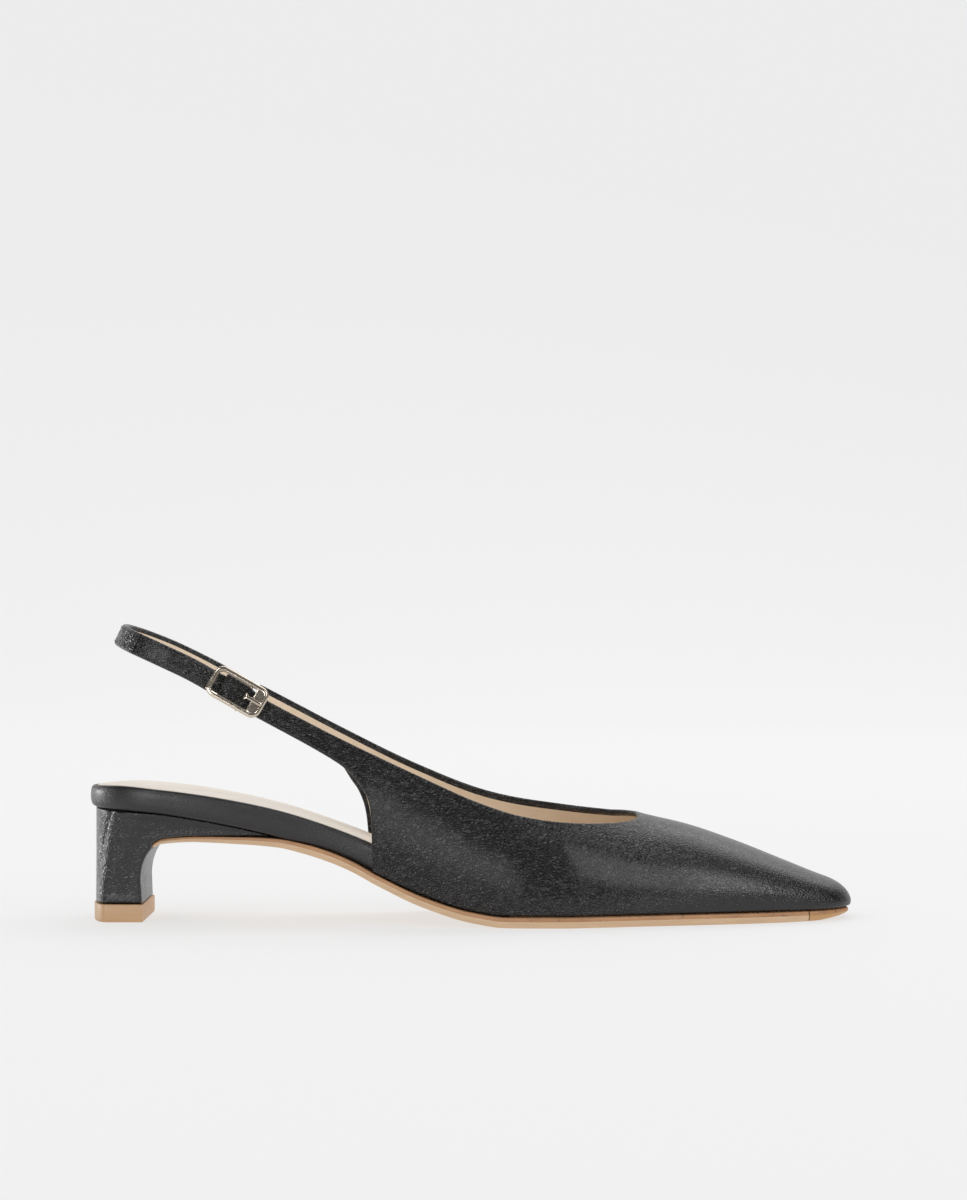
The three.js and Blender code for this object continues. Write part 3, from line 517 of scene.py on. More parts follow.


# Black nappa: small pebbles, wavy creases where the waist flexes, and a soft uneven gloss; its colour is
# painted darker along the creases and between the pebbles as shade
def nappa(name, crease=1.0, gloss=0.36, pebble=1.0):
    s = Shader(name)
    wavy = s.stretched((1.0, 1.0, 1.5))
    warp = s.node("ShaderNodeTexNoise", {"Vector": wavy, "Scale": 260.0, "Detail": 2.0})
    bent = s.vector_math("SUBTRACT", {0: warp.outputs["Color"], 1: (0.5, 0.5, 0.5)})
    pushed = s.vector_math("SCALE", {0: bent, 3: CREASE_BEND})
    moved = s.vector_math("ADD", {0: wavy, 1: pushed})
    plump = s.spread(s.cells(CREASE_CELLS, moved), 0.0, 0.4)
    pebbles = s.spread(s.cells(PEBBLE_CELLS), 0.0, 0.4)
    behind = s.spread(s.along_x(), *GRAIN_FADE, 1.0, 0.15)
    patch = s.math("MULTIPLY", behind, s.spread(s.noise(45, 2), 0.3, 0.6, 0.8, 1.0))
    # Painted shade: the crease and pebble patterns also darken the colour in their hollows and lighten it
    # on the raised tops
    grain_and_crease_shade = s.math("MULTIPLY", s.math("SUBTRACT", plump, 0.45), s.math("MULTIPLY", patch, crease))
    pebble_shade = s.math("MULTIPLY", s.math("SUBTRACT", pebbles, 0.45), 0.3 * pebble)
    shade = s.math("ADD", 0.4, s.math("ADD", grain_and_crease_shade, pebble_shade))
    rough = s.spread(s.noise(420, 3), 0.25, 0.75, gloss - 0.05, gloss + 0.06)
    rough = s.math("SUBTRACT", rough, s.math("MULTIPLY", grain_and_crease_shade, 0.12))
    s.set(Base_Color=s.blend(shade, *BLACK_AND_CREASE_SHADE), Roughness=rough, Coat_Weight=0.15, Coat_Roughness=0.22)
    s.bsdf.inputs["Specular IOR Level"].default_value = 0.5
    s.bump(
        (grain_and_crease_shade, 1.0, 0.0005),
        (pebbles, 0.6 * pebble, 0.00012),
        (s.noise(170, 2), 0.2, 0.0003),
    )
    return s.material


def lining_leather():
    s = Shader("lining")
    s.set(Base_Color=s.tones(120, 5, *LINING_TONES), Roughness=0.62)
    s.bump((s.noise(900, 3), 0.25, 0.00008), (s.noise(90, 2), 0.3, 0.0003))
    return s.material


def sock_leather():
    s = Shader("sock")
    s.set(Base_Color=s.tones(50, 5, *SOCK_TONES), Roughness=0.6)
    s.bump((s.spread(s.cells(1700), 0.0, 0.3), 0.18, 0.00006), (s.noise(140, 3), 0.25, 0.0002))
    return s.material


# Sole leather: fibres along the edge and faint burnish marks
def sole_leather(name, tones, rough=0.42):
    s = Shader(name)
    fibres = s.noise(160, 5, 0.6, stretch=(0.35, 1.0, 6.0))
    s.set(Base_Color=s.blend(s.spread(fibres, 0.3, 0.7), *tones))
    s.set(Roughness=s.spread(s.noise(300, 3), 0.3, 0.7, rough - 0.06, rough + 0.1))
    s.bump((fibres, 0.25, 0.0001))
    return s.material


# The upper strip of the sole's edge, with a rough line of cement along the forefoot
def strip_leather():
    s = Shader("sole_strip")
    rough = s.noise(900, 4, 0.7, stretch=(0.6, 1.0, 1.0))
    forefoot = s.spread(s.along_x(), *CEMENT_FADE)
    cement = s.math("MULTIPLY", s.spread(rough, 0.58, 0.68, 0.0, 0.6), forefoot)
    s.set(Base_Color=s.blend(cement, s.tones(120, 3, *STRIP_TONES), CEMENT), Roughness=0.55)
    s.bump((rough, 0.4, 0.00015))
    return s.material


def polished_metal():
    s = Shader("buckle_metal")
    s.set(Base_Color=s.tones(500, 3, *METAL_TONES), Metallic=0.8)
    s.set(Roughness=s.spread(s.noise(1500, 4), 0.3, 0.7, 0.1, 0.18))
    s.bump((s.noise(2500, 2), 0.05, 0.00002))
    return s.material


def thread_material():
    s = Shader("thread")
    s.set(Base_Color=s.blend(s.noise(4000, 2), *THREAD_TONES), Roughness=0.6)
    s.bump((s.noise(5000, 2), 0.4, 0.00005))
    return s.material


upper_leather = nappa("upper_leather")
strap_leather = nappa("strap_leather", crease=0.6, gloss=0.32)
heel_leather = nappa("heel_leather", crease=0.3, gloss=0.3, pebble=0.8)
rand_leather = nappa("rand_leather", crease=0.1, gloss=0.46, pebble=0.7)
lining = lining_leather()
sock = sock_leather()
sole_edge = sole_leather("sole_leather", SOLE_TONES)
sole_strip = strip_leather()
toe_leather = sole_leather("toe_insert", TOE_TONES)
lift_rubber = sole_leather("lift", LIFT_TONES, 0.45)
gold = polished_metal()
thread = thread_material()


# Ribs of the upper in the stretch under the strap and in the quarter
STRAP_RIBS = 46
QUARTER_RIBS = 60


# One side of the upper: its foot and lip lines in five stretches, with their ribs and their kind
def upper_edges(side, end_at):
    corner_x = station_x(FOOT_BACK_AT[side])
    further = BACK_EDGE[:, 2] if side == MEDIAL else 0
    back = np.stack([station_x(BACK_EDGE[:, 0] - further), BACK_EDGE[:, 1] * STRAP_TOP], -1)
    back = np.vstack([back, [corner_x, sole_top(corner_x) + GAP]])
    back = along_line(through(back, 60, even=True), np.linspace(0, 1, 400))
    up = np.array([math.sin(STRAP_TILT), math.cos(STRAP_TILT)])

    def trim(x):
        if side == MEDIAL:
            return 0 * x
        return TAB_TRIM * (1 - smoothstep(x, BUCKLE_X, BUCKLE_X + BUCKLE_LENGTH))

    def shifted(x, z, amount):
        return on_side(x + amount * up[0], z + amount * up[1], side)

    turn_x = station_x(STRAP_FOOT_AT)
    turn = int(np.argmax(back[:, 0] > turn_x))
    strap_foot = back[:turn][back[:turn, 0] > station_x(end_at)]
    quarter_foot = back[turn - 1:]
    strap_line = shifted(*strap_foot.T, trim(strap_foot[:, 0]))
    quarter_line = shifted(*quarter_foot.T, trim(quarter_foot[:, 0]))

    def feather(start, stop):
        x = np.linspace(start, stop, 200)
        return on_side(x, sole_top(x) + GAP, side)

    flat = FLAT_SHARE * TOE_DEPTH
    front_x = station_x(1) - flat
    t = np.linspace(0, 1, 120)
    x = station_x(1) - flat * (1 - t) ** TOE_POWER
    front = np.stack([x, mix(edge(front_x, side), middle(front_x), t), sole_top(x) + GAP], -1)

    def tab_rise(x):
        if side == MEDIAL:
            return 0 * x
        return TAB_RISE * (1 - smoothstep(x, BUCKLE_X + 2, BUCKLE_X + 9))

    def lip(x):
        x = np.asarray(x, float)
        return shifted(x, topline_curves[side](station_at(x)) * STRAP_TOP, tab_rise(x) - trim(x))

    throat_x = station_x(THROAT_AT)
    lip_start = strap_foot[0, 0] + up[0] * STRAP_WIDTH
    lip_turn = turn_x + up[0] * STRAP_WIDTH
    lip_waist = station_x(LIP_WAIST_AT)
    corner_start = throat_x - 1.6 * THROAT_CORNER
    tip = lip(throat_x - THROAT_BOW)
    corner_end = np.array([throat_x - THROAT_BOW / 5, tip[1] - side * THROAT_CORNER])
    t = np.linspace(0, 1, 80)[:, None]
    bend = (1 - t) ** 2 * lip(corner_start)[:2] + 2 * t * (1 - t) * tip[:2] + t * t * corner_end
    throat = corner_end + t * (np.array([throat_x, middle(throat_x)]) - corner_end)
    arch_x = station_x(ARCH_FOOT_AT)
    return [
        (strap_line, lip(np.linspace(lip_start, lip_turn, 120)), STRAP_RIBS, 0),
        (quarter_line, lip(np.linspace(lip_turn, lip_waist, 120)), QUARTER_RIBS, 0),
        (feather(corner_x, arch_x), lip(np.linspace(lip_waist, corner_start, 120)), 80, 2),
        (feather(arch_x, front_x), on_top(bend[:, 0], bend[:, 1]), 62, 1),
        (front, on_top(throat[:, 0], throat[:, 1]), 22, 1),
    ]


# The last's surface, met along the spoke through a point of a section
def onto_last(p):
    x = p[..., 0]
    low, ridge, square = section(x)
    side = np.where(p[..., 1] < middle(x), LATERAL, MEDIAL)
    half = np.maximum(np.abs(edge(x, side) - middle(x)), 1e-6)
    across = np.abs(p[..., 1] - middle(x)) / half
    rise = np.clip((p[..., 2] - low) / np.maximum(ridge - low, 1e-6), 0, None)
    reach = (across**square + rise**square) ** (1 / square)
    scale = 1 / np.maximum(reach, 1e-6)
    y = middle(x) + (p[..., 1] - middle(x)) * scale
    z = np.where(p[..., 2] > low, low + (p[..., 2] - low) * scale, p[..., 2])
    return np.stack([x, y, z], -1)


def rib_line(foot, lip, side, plan):
    t = np.linspace(0, 1, 90)
    share = np.linspace(0, 1, 240)
    if plan < 1:
        across = on_side(mix(foot[0], lip[0], t), mix(foot[2], lip[2], t), side)
        across = along_line(across, share)
    if plan > 0:
        s = t**2.4
        over = on_top(mix(foot[0], lip[0], s), mix(foot[1], lip[1], s))
        over[0] = foot
        over = along_line(over, share)
    if plan == 0:
        return across
    if plan == 1:
        return over
    return onto_last(mix(across, over, plan))


def sole_clear(p):
    height = mix(TUCK_HEIGHT, TOE_TUCK_HEIGHT, smoothstep(station_at(p[..., 0]), TOE_START_AT, 1))
    return np.clip((p[..., 2] - sole_top(p[..., 0]) - GAP) / height, 0, 1)


def grid_normals(grid):
    along = np.gradient(grid, axis=0)
    across = np.gradient(grid, axis=1)
    return unit(np.cross(along, across))


BUCKLE_X = station_x(BUCKLE_AT)
# Columns of points near an edge of the upper, and the least distance between them
NEAR = np.array([0.8, 1.05, 1.4, 1.9, 2.35, 2.55, 3.1])
NEAR_LEAST = WALL / 2 + np.arange(len(NEAR)) * 0.1


def upper_ribs():
    lines = []
    free = []
    for side, end_at in ((LATERAL, TAB_END_AT), (MEDIAL, STUB_END_AT)):
        part = []
        loose = []
        for number, (foot, lip, count, kind) in enumerate(upper_edges(side, end_at)):
            for t in np.linspace(0, 1, count + 1)[(0 if number == 0 else 1):]:
                plan = smoothstep(t, 0, 1) if kind == 2 else kind
                ends = along_line(foot, np.array([t]))[0], along_line(lip, np.array([t]))[0]
                part.append(rib_line(*ends, side, float(plan)))
                loose.append(kind == 0)
        if side == MEDIAL:
            part = part[-2::-1]
            loose = loose[-2::-1]
        lines += part
        free += loose
    return lines, np.array(free)


def skin_grid(lines):
    columns = []
    for line in lines:
        total = lengths_of(line)[-1]
        scale = mix(0.72, 0.95, smoothstep(line[-1, 0], -60, 30))
        near = np.maximum(NEAR * min(scale, total / 2 / (NEAR[-1] + 0.4)), NEAR_LEAST)
        body = np.linspace(near[-1], total - near[-1], 46)[1:-1]
        spots = np.concatenate([near, body, total - near[::-1]])
        columns.append(along_line(line, np.concatenate([[0], spots, [total]]) / total))
    return np.array(columns)


# The upper: a rounded, hollow shell with its leather outside and over the edge, and a pale lining
def build_upper():
    lines, free = upper_ribs()
    grid = skin_grid(lines)
    normal = grid_normals(grid)
    flat = normal.copy()
    flat[..., 2] = 0
    depth = mix(TUCK, TOE_TUCK, smoothstep(station_at(grid[..., 0]), TOE_START_AT, 1))
    grid = grid - unit(flat) * (depth * (1 - sole_clear(grid)) ** 2)[..., None]
    normal = grid_normals(grid)
    radius = WALL / 2
    turns = np.linspace(0, math.pi, 9)[1:-1]
    up = unit(grid[:, -1] - grid[:, -2])
    down = unit(grid[:, 0] - grid[:, 1])
    top = grid[:, -2] - radius * normal[:, -2]
    base = grid[:, 1] - radius * normal[:, 1]
    over = [top + radius * (math.cos(a) * normal[:, -2] + math.sin(a) * up) for a in turns]
    under = [base + radius * (math.cos(a) * normal[:, 1] + math.sin(a) * down) for a in turns]
    inner = grid[:, 1:-1] - WALL * normal[:, 1:-1]
    skin = grid[:, 1:-1]
    half = len(turns) // 2
    under = np.stack(under, 1)
    over = np.stack(over, 1)
    start = under[:, :half + 1][:, ::-1]
    finish = under[:, half + 1:][:, ::-1]
    rings = np.concatenate([start, skin, over, inner[:, ::-1], finish], 1)
    if rings.shape[1] % 2:
        rings = np.concatenate([rings, under[:, half:half + 1]], 1)
    verts, faces = loft(rings)
    cols = rings.shape[1]
    inside = half + 1 + skin.shape[1] + over.shape[1]
    deep = len(NEAR) - 3
    beige = np.zeros((rings.shape[0], cols), bool)
    beige[:, inside + deep + 1:inside + inner.shape[1] - 1] = True
    beige[free, inside + inner.shape[1] - deep - 3:] = False
    count = (rings.shape[0] - 1) * cols
    picks = np.zeros(len(faces), int)
    picks[:count] = beige[:-1].reshape(-1)
    make("upper_shell", verts, faces, [upper_leather, lining], "upper_leather", ["upper"], picks)
    return grid, normal


upper_grid, upper_normal = build_upper()


# Plates whose outline in plan is drawn in at each level
def crowded(start, stop, round_back, round_front, count):
    t = np.linspace(0, 1, count)
    ahead = t ** (2.2 if round_back else 1.0)
    left = (1 - t) ** (3.0 if round_front else 1.0)
    return start + (stop - start) * ahead / (ahead + left)


def plate_rings(xs, reach, under, top, levels, cut_back=False, cut_front=False, draw=None):
    outer = np.stack([xs, reach(xs, LATERAL)], -1)
    inner = np.stack([xs, reach(xs, MEDIAL)], -1)
    ring = np.vstack([outer, inner[::-1]])
    along = np.roll(ring, -1, 0) - np.roll(ring, 1, 0)
    inward = unit(np.stack([-along[:, 1], along[:, 0]], -1))
    last = len(xs) - 1
    for station, cut in ((0, cut_back), (last, cut_front)):
        for k in (station, len(ring) - 1 - station):
            if cut:
                inward[k] = (0, np.sign(inward[k, 1]))
    rings = []
    drawn = draw(ring[:, :1]) if draw else 0
    for inset, share in levels:
        q = ring + inward * (inset + drawn)
        z = mix(under(*q.T), top(*q.T), share) if share <= 1 else bed_floor(*q.T)
        rings.append(np.column_stack([q, z]))
    return np.array(rings)


def welt(x):
    return mix(WELT, TOE_WELT, smoothstep(station_at(x), TOE_START_AT, 1))


def sole_reach(x, side):
    return middle(x) + (edge(x, side) - middle(x)) * shank_narrow(station_at(x)) - side * welt(x)


# Inset and share of the height at each level of the sole's edge; the strip starts at one of them
SOLE_LEVELS = [
    (3.0, 0.0), (1.9, 0.0), (1.5, 0.015), (1.2, 0.06), (0.75, 0.17), (0.35, 0.3), (0.12, 0.42),
    (0.03, 0.52), (0.0, 0.6), (0.06, 0.635), (0.12, 0.64), (0.08, 0.66), (0.05, 0.8), (0.12, 0.94),
    (0.3, 1.0), (1.6, 1.0),
]


STRIP_FROM = 10


def build_sole(name, xs, leather, slot, node, cut_front):
    rings = plate_rings(xs, sole_reach, sole_under, sole_top, SOLE_LEVELS, True, cut_front)
    verts, faces = loft(rings)
    rows, cols = rings.shape[:2]
    picks = np.zeros(len(faces), int)
    picks[STRIP_FROM * cols:(rows - 1) * cols] = 1
    make(name, verts, faces, [leather, sole_strip], slot, [node], picks)


def build_soles():
    joint = station_x(TOE_JOINT_AT)
    xs = crowded(station_x(SOLE_END_AT), joint - GAP / 2, False, False, 420)
    build_sole("outsole_leather", xs, sole_edge, "sole_leather", "outsole", True)
    xs = crowded(joint + GAP / 2, station_x(1) - TOE_WELT - GAP / 2, False, True, 90)
    build_sole("toe_insert", xs, toe_leather, "toe_insert", "toe_tip", False)


build_soles()
wall_depth = TUCK + WALL + GAP
SOCK_INSET = RIM + RIM_SLOPE + GAP
SEAT_START = SEAT_X + 0.003
# A level with this share lies on the floor of the recess
SUNK = 2
# Inset and share of the height: the rim on top of the footbed, and the sock's rounded edge
RIM_LEVELS = [(1.3, 1.0), (1.55, 0.985), (RIM, 0.95), (RIM + RIM_SLOPE, SUNK), (4.0, SUNK)]
SOCK_LEVELS = [
    (2.0, 0.0), (0.3, 0.0), (0.05, 0.2), (0.0, 0.45), (0.05, 0.7), (0.25, 0.92), (0.6, 1.0), (2.5, 1.0),
]


def bed_inset(x):
    return wall_depth * smoothstep(station_at(x), 0.12, 0.33)


def rand_reach(x, side):
    return edge(x, side) - side * bed_inset(x)


def sock_reach(x, side):
    inset = bed_inset(x) + SOCK_INSET * smoothstep(station_at(x), TOE_START_AT, 1)
    return edge(x, side) - side * inset


def sock_drawn(x):
    return mix(SOCK_INSET, GAP, smoothstep(station_at(x), RIM_END_AT, BED_END_AT))


def sock_top(x, y):
    return sock_under(x, y) + SOCK


def build_bed():
    xs = crowded(SEAT_START, station_x(BED_END_AT), True, False, 300)
    turns = np.linspace(-1, 1, 17)
    round_edge = [((1.6 if t < 0 else 1.0) * (1 - (1 - abs(t) ** 2.4) ** 0.5), (t + 1) / 2) for t in turns]
    levels = [(4.0, 0.0), *round_edge, *RIM_LEVELS]
    rings = plate_rings(xs, rand_reach, bed_under, bed_top, levels, False, True)
    make("footbed_rand", *loft(rings), [rand_leather], "rand_leather", ["footbed"])
    xs = crowded(SEAT_START, station_x(1) - wall_depth - SOCK_TOE_ROOM, True, True, 300)
    rings = plate_rings(xs, sock_reach, sock_under, sock_top, SOCK_LEVELS, draw=sock_drawn)
    make("insole_sock", *loft(rings), [sock], "sock_leather", ["insole"])


build_bed()


# The heel: its side profile as a bent strip, widened to both sides, with rounded leather edges
HEEL_INSET = 1.9
HEEL_ROUNDING = 0.9
HEEL_HOLLOW = 0.5
HEEL_VALLEY = 0.45
HEEL_ROWS = 190
HEEL_BEND_ROW = 80
heel_back = SEAT_X + HEEL_INSET
heel_breast = heel_back + HEEL_LENGTH


def heel_width(x, z):
    rise = np.clip((z - LIFT) / (SEAT_HEIGHT - LIFT), 0, 1.2)
    half = mix(HEEL_WIDTH, HEEL_TOP_WIDTH, rise**1.6) / 2
    depth = mix(HEEL_BULGE, SEAT_DEPTH - 6, rise**1.5)
    power = mix(2, SEAT_POWER, rise)
    return half * closing(x - heel_back, depth, power)


def build_heel():
    base = LIFT + GAP
    tip_x = station_x(WING_END_AT)
    breast_x = station_x(SOLE_END_AT)
    top_z = bed_under(heel_back) - GAP
    back = np.array([[heel_back + 0.002, z] for z in np.linspace(base, top_z, 60)])
    x = np.linspace(heel_back, tip_x, 200)
    upper_line = np.stack([x, bed_under(x) - GAP], -1)
    rear = np.vstack([back, upper_line[1:]])
    t = np.linspace(0, 1, 50)[:, None]
    a = np.array([heel_breast - 0.4, base + 8])
    c = np.array([breast_x, sole_under(breast_x)])
    b = np.array([heel_breast - 0.2, c[1] - 4])
    sweep = (1 - t) ** 2 * a + 2 * t * (1 - t) * b + t * t * c
    x = np.linspace(breast_x, tip_x, 200)
    lower_line = np.stack([x, sole_top(x) + GAP], -1)
    front = np.vstack([[[heel_breast, base]], sweep, lower_line])
    rear_total = lengths_of(rear)
    bend_rear = rear_total[len(back) - 1] / rear_total[-1]
    front_total = lengths_of(front)
    bend_front = front_total[1 + len(sweep) - 12] / front_total[-1]

    def shares(bend):
        below = np.linspace(0, bend, HEEL_BEND_ROW, endpoint=False)
        return np.concatenate([below, np.linspace(bend, 1, HEEL_ROWS - HEEL_BEND_ROW)])

    rear_points = along_line(rear, shares(bend_rear))
    front_points = along_line(front, shares(bend_front))
    u = np.linspace(0, 1, 72)
    u = u**1.7 * (1 - u) + u * (1 - (1 - u) ** 1.3)
    plane = rear_points[:, None] + (front_points - rear_points)[:, None] * u[None, :, None]
    x, z = np.moveaxis(plane, -1, 0)
    width = heel_width(x, z)
    top_gap = np.maximum(bed_under(x) - GAP - z, 0) * 1.4
    reach = np.minimum(np.linalg.norm(plane - front_points[:, None], axis=-1), z - base)
    reach = np.minimum(reach, top_gap)
    short = 1 - np.clip(reach / HEEL_ROUNDING, 0, 1)
    lost = HEEL_ROUNDING * (1 - np.sqrt(1 - short**2))
    rise = np.clip((z - base) / (top_z - base), 0, 1)
    corner = heel_back + mix(2.2, 8.5, rise**1.6)
    inner_side = smoothstep(x - corner, 0.0, 0.8)
    border = np.minimum(np.minimum(x - corner, reach), 9)
    hollow = HEEL_HOLLOW * inner_side * smoothstep(border, 0.9, 4.0)
    valley = HEEL_VALLEY * np.exp(-(((x - corner + 0.9) / 0.7) ** 2))
    width = np.maximum(width - lost - hollow - valley, 0.02)
    outer = np.stack([x, -width, z], -1)
    inner = outer * np.array([1, -1, 1])
    rings = np.concatenate([outer, inner[:, ::-1]], 1)
    make("heel_cover", *loft(rings), [heel_leather], "heel_leather", ["heel"])


build_heel()


# Height of each level of the lift, and how far it stands out
LIFT_LEVELS = (
    (0.0, -1.5), (0.0, 0.0), (0.12, 0.3), (0.4, 0.45), (1.0, LIFT_PROUD), (LIFT - 0.5, LIFT_PROUD),
    (LIFT - 0.15, 0.4), (LIFT, 0.1), (LIFT, -1.5),
)


def lift_outline(proud, count=90):
    back = heel_back - proud
    t = np.linspace(0, 1, count)
    xs = back + 0.001 + (heel_breast + proud - back) * np.concatenate([t[:-1] ** 2.5, [1]])
    return xs, (HEEL_WIDTH / 2 + proud) * closing(xs - back, HEEL_BULGE + proud, 2)


def sharpen(obj, degrees=35):
    obj.data.set_sharp_from_angle(angle=math.radians(degrees))


def build_lift():
    rings = []
    for z, proud in LIFT_LEVELS:
        xs, ys = lift_outline(proud)
        outer = np.stack([xs, -ys, np.full_like(xs, z)], -1)
        inner = outer * np.array([1, -1, 1])
        rings.append(np.vstack([outer, inner[::-1]]))
    sharpen(make("top_lift_piece", *loft(np.array(rings)), [lift_rubber], "lift", ["top_lift"]))


build_lift()


# The buckle's own frame, as in the part
def wall_up(x, z, side):
    up = np.array([math.sin(STRAP_TILT), math.cos(STRAP_TILT)]) * STRAP_WIDTH / 2
    return unit(on_side(x + up[0], z + up[1], side) - on_side(x - up[0], z - up[1], side))


strap_up = np.array([math.sin(STRAP_TILT), 0, math.cos(STRAP_TILT)])
strap_along = np.array([math.cos(STRAP_TILT), 0, -math.sin(STRAP_TILT)])
BUCKLE_Z = sling_height(BUCKLE_AT) * STRAP_TOP + BUCKLE_RAISE
buckle_spot = on_side(BUCKLE_X, BUCKLE_Z, LATERAL)
ahead = buckle_spot + strap_along * BUCKLE_LENGTH / 2
behind = buckle_spot - strap_along * BUCKLE_LENGTH / 2
ahead = on_side(ahead[0], ahead[2], LATERAL)
behind = on_side(behind[0], behind[2], LATERAL)
axis_along = unit(ahead - behind)
axis_out = unit(np.cross(axis_along, wall_up(BUCKLE_X, BUCKLE_Z, LATERAL)))
axis_up = unit(np.cross(axis_out, axis_along))
STRAP_BASIS = np.stack([axis_along, axis_up, axis_out])
BASIS = np.stack([
    math.cos(BUCKLE_TURN) * axis_along - math.sin(BUCKLE_TURN) * axis_up,
    math.sin(BUCKLE_TURN) * axis_along + math.cos(BUCKLE_TURN) * axis_up,
    axis_out,
])
BAR_DEPTH = WALL + GAP + BAR_RADIUS + GAP + PRONG
EYE_RADIUS = BAR_RADIUS + GAP + PRONG
HOLE_ALONG = BAR_ALONG + 0.4


def in_buckle(points):
    return buckle_spot + np.asarray(points, float) @ BASIS


def in_strap(points):
    return buckle_spot + np.asarray(points, float) @ STRAP_BASIS


def rounded_rect(length, width, radius, count=14):
    x = length / 2 - radius
    y = width / 2 - radius
    points = []
    for cx, cy, start in ((x, y, 0), (-x, y, 0.5), (-x, -y, 1), (x, -y, 1.5)):
        a = math.pi * (start + np.linspace(0, 0.5, count))
        points.append(np.stack([cx + radius * np.cos(a), cy + radius * np.sin(a)], -1))
    return np.vstack(points)


# A solid through rows of paired points, bent round into a ring or closed at both ends
def tube(rows, ring=False):
    rows = np.array(rows)
    count = rows.shape[1]
    faces = grid_faces(len(rows), count)
    end = (len(rows) - 1) * count
    k = np.arange(count)
    if ring:
        joined = np.stack([end + k, end + (k + 1) % count, (k + 1) % count, k], -1)
        faces = np.vstack([faces, joined]).tolist()
    else:
        faces = [*faces.tolist(), k[::-1].tolist(), (end + k).tolist()]
    return outward(rows.reshape(-1, 3), faces)


RING_LOW = TAB_OUT
RING_HIGH = TAB_OUT + BUCKLE_DEPTH
BUCKLE_SHARP = 28
ROUND = np.linspace(0, 2 * math.pi, 12, endpoint=False)


# The ring: an outer bevel, a flat top, an inner bevel and straight sides
def build_ring():
    low = RING_LOW
    high = RING_HIGH
    profile = [
        (0.0, low + 0.1), (0.0, high - 0.55), (0.06, high - 0.42), (0.46, high - 0.06), (0.56, high - 0.01),
        (1.2, high), (1.3, high - 0.03), (1.68, high - 0.45), (1.78, high - 0.6), (1.8, low + 0.1),
        (1.7, low), (0.1, low),
    ]
    outer = rounded_rect(BUCKLE_LENGTH, BUCKLE_WIDTH, BUCKLE_CORNER)
    window = BUCKLE_LENGTH - 2 * BUCKLE_SIDE, BUCKLE_WIDTH - 2 * BUCKLE_SIDE
    inner = rounded_rect(*window, BUCKLE_CORNER - BUCKLE_SIDE)
    rings = []
    for a, b in zip(outer, inner):
        rings.append(in_buckle([(*mix(a, b, inset / BUCKLE_SIDE), z) for inset, z in profile]))
    piece = make("buckle_ring", *tube(rings, ring=True), [gold], "buckle_metal", ["buckle_frame"])
    sharpen(piece, BUCKLE_SHARP)


# The end plate, crowned, with its bevelled edges
def build_plate():
    low = RING_LOW + 0.2
    high = RING_HIGH
    half = (BUCKLE_WIDTH - BUCKLE_SIDE) / 2
    right = BUCKLE_LENGTH / 2 - 0.4
    left = BUCKLE_LENGTH / 2 - PLATE_LENGTH - 0.3
    middle_x = (left + right) / 2
    profile = [
        (0.9, low), (0.0, low), (0.0, high - 0.42), (0.12, high - 0.26), (0.4, high - 0.18),
        (0.9, high - 0.15),
    ]
    rows = []
    for inset, z in profile:
        loop = rounded_rect(right - left - 2 * inset, 2 * (half - inset), 0.8, 6)
        rows.append(in_buckle([(middle_x + x, y, z) for x, y in loop]))
    sharpen(make("buckle_plate", *tube(rows), [gold], "buckle_metal"), BUCKLE_SHARP)


# The centre bar and its legs
def build_bar():
    deep = -BAR_DEPTH
    reach = (BUCKLE_WIDTH - 0.8) / 2
    half = [(RING_LOW + 0.6, reach), (deep + 0.45, reach), (deep + 0.1, reach - 0.12), (deep, reach - 0.45)]
    path = np.array([(z, -y) for z, y in half] + half[::-1])
    rows = []
    for i, (z, y) in enumerate(path):
        step = unit(path[min(i + 1, len(path) - 1)] - path[max(i - 1, 0)])
        ring = []
        for a in ROUND:
            shift = 0.4 * math.cos(a)
            ring.append((BAR_ALONG + 0.45 * math.sin(a), y + step[0] * shift, z - step[1] * shift))
        rows.append(in_buckle(ring))
    make("buckle_bar", *tube(rows), [gold], "buckle_metal")


# The prong: round the bar, up through the hole and onto the plate
def build_prong():
    top = RING_HIGH + GAP
    tip = (BUCKLE_LENGTH - PLATE_LENGTH) / 2 + 1.2
    eye = EYE_RADIUS * 0.78
    turns = np.linspace(-1.5 * math.pi, 0.3 * math.pi, 14)
    line = [(BAR_ALONG + eye * math.cos(a), -BAR_DEPTH + eye * math.sin(a)) for a in turns]
    line += [
        (HOLE_ALONG, -BAR_DEPTH + EYE_RADIUS + 0.4), (HOLE_ALONG, 0.3), (HOLE_ALONG + 0.05, top - 0.4),
        (HOLE_ALONG + 0.5, top + 0.15), (HOLE_ALONG + 1.3, top + 0.25), (tip - 0.5, top + 0.1),
        (tip, top - 0.12),
    ]
    line = along_line(through(line, 6, even=True), np.linspace(0, 1, 70))
    step = unit(np.gradient(line, axis=0))
    side = np.stack([-step[:, 1], step[:, 0]], -1)
    head = np.exp(-((line[:, 0] - HOLE_ALONG - 0.3) / 0.45) ** 2) * (line[:, 1] > top - 0.5)
    wide = 1 + 1.1 * head
    rows = []
    for i in range(len(line)):
        ring = []
        taper = 1 - 0.25 * smoothstep(i / len(line), 0.9, 1)
        for a in ROUND:
            c = math.copysign(abs(math.cos(a)) ** 0.6, math.cos(a))
            s = math.copysign(abs(math.sin(a)) ** 0.6, math.sin(a))
            p = line[i] + side[i] * c * PRONG / 2
            ring.append((p[0], s * PRONG_WIDTH / 2 * taper * wide[i], p[1]))
        rows.append(in_buckle(ring))
    make("buckle_pin", *tube(rows), [gold], "buckle_metal", ["buckle_prong"])


build_ring()
build_plate()
build_bar()
build_prong()


STUB_X = station_x(STUB_END_AT)
STUB_Z = sling_height(STUB_END_AT) * STRAP_TOP


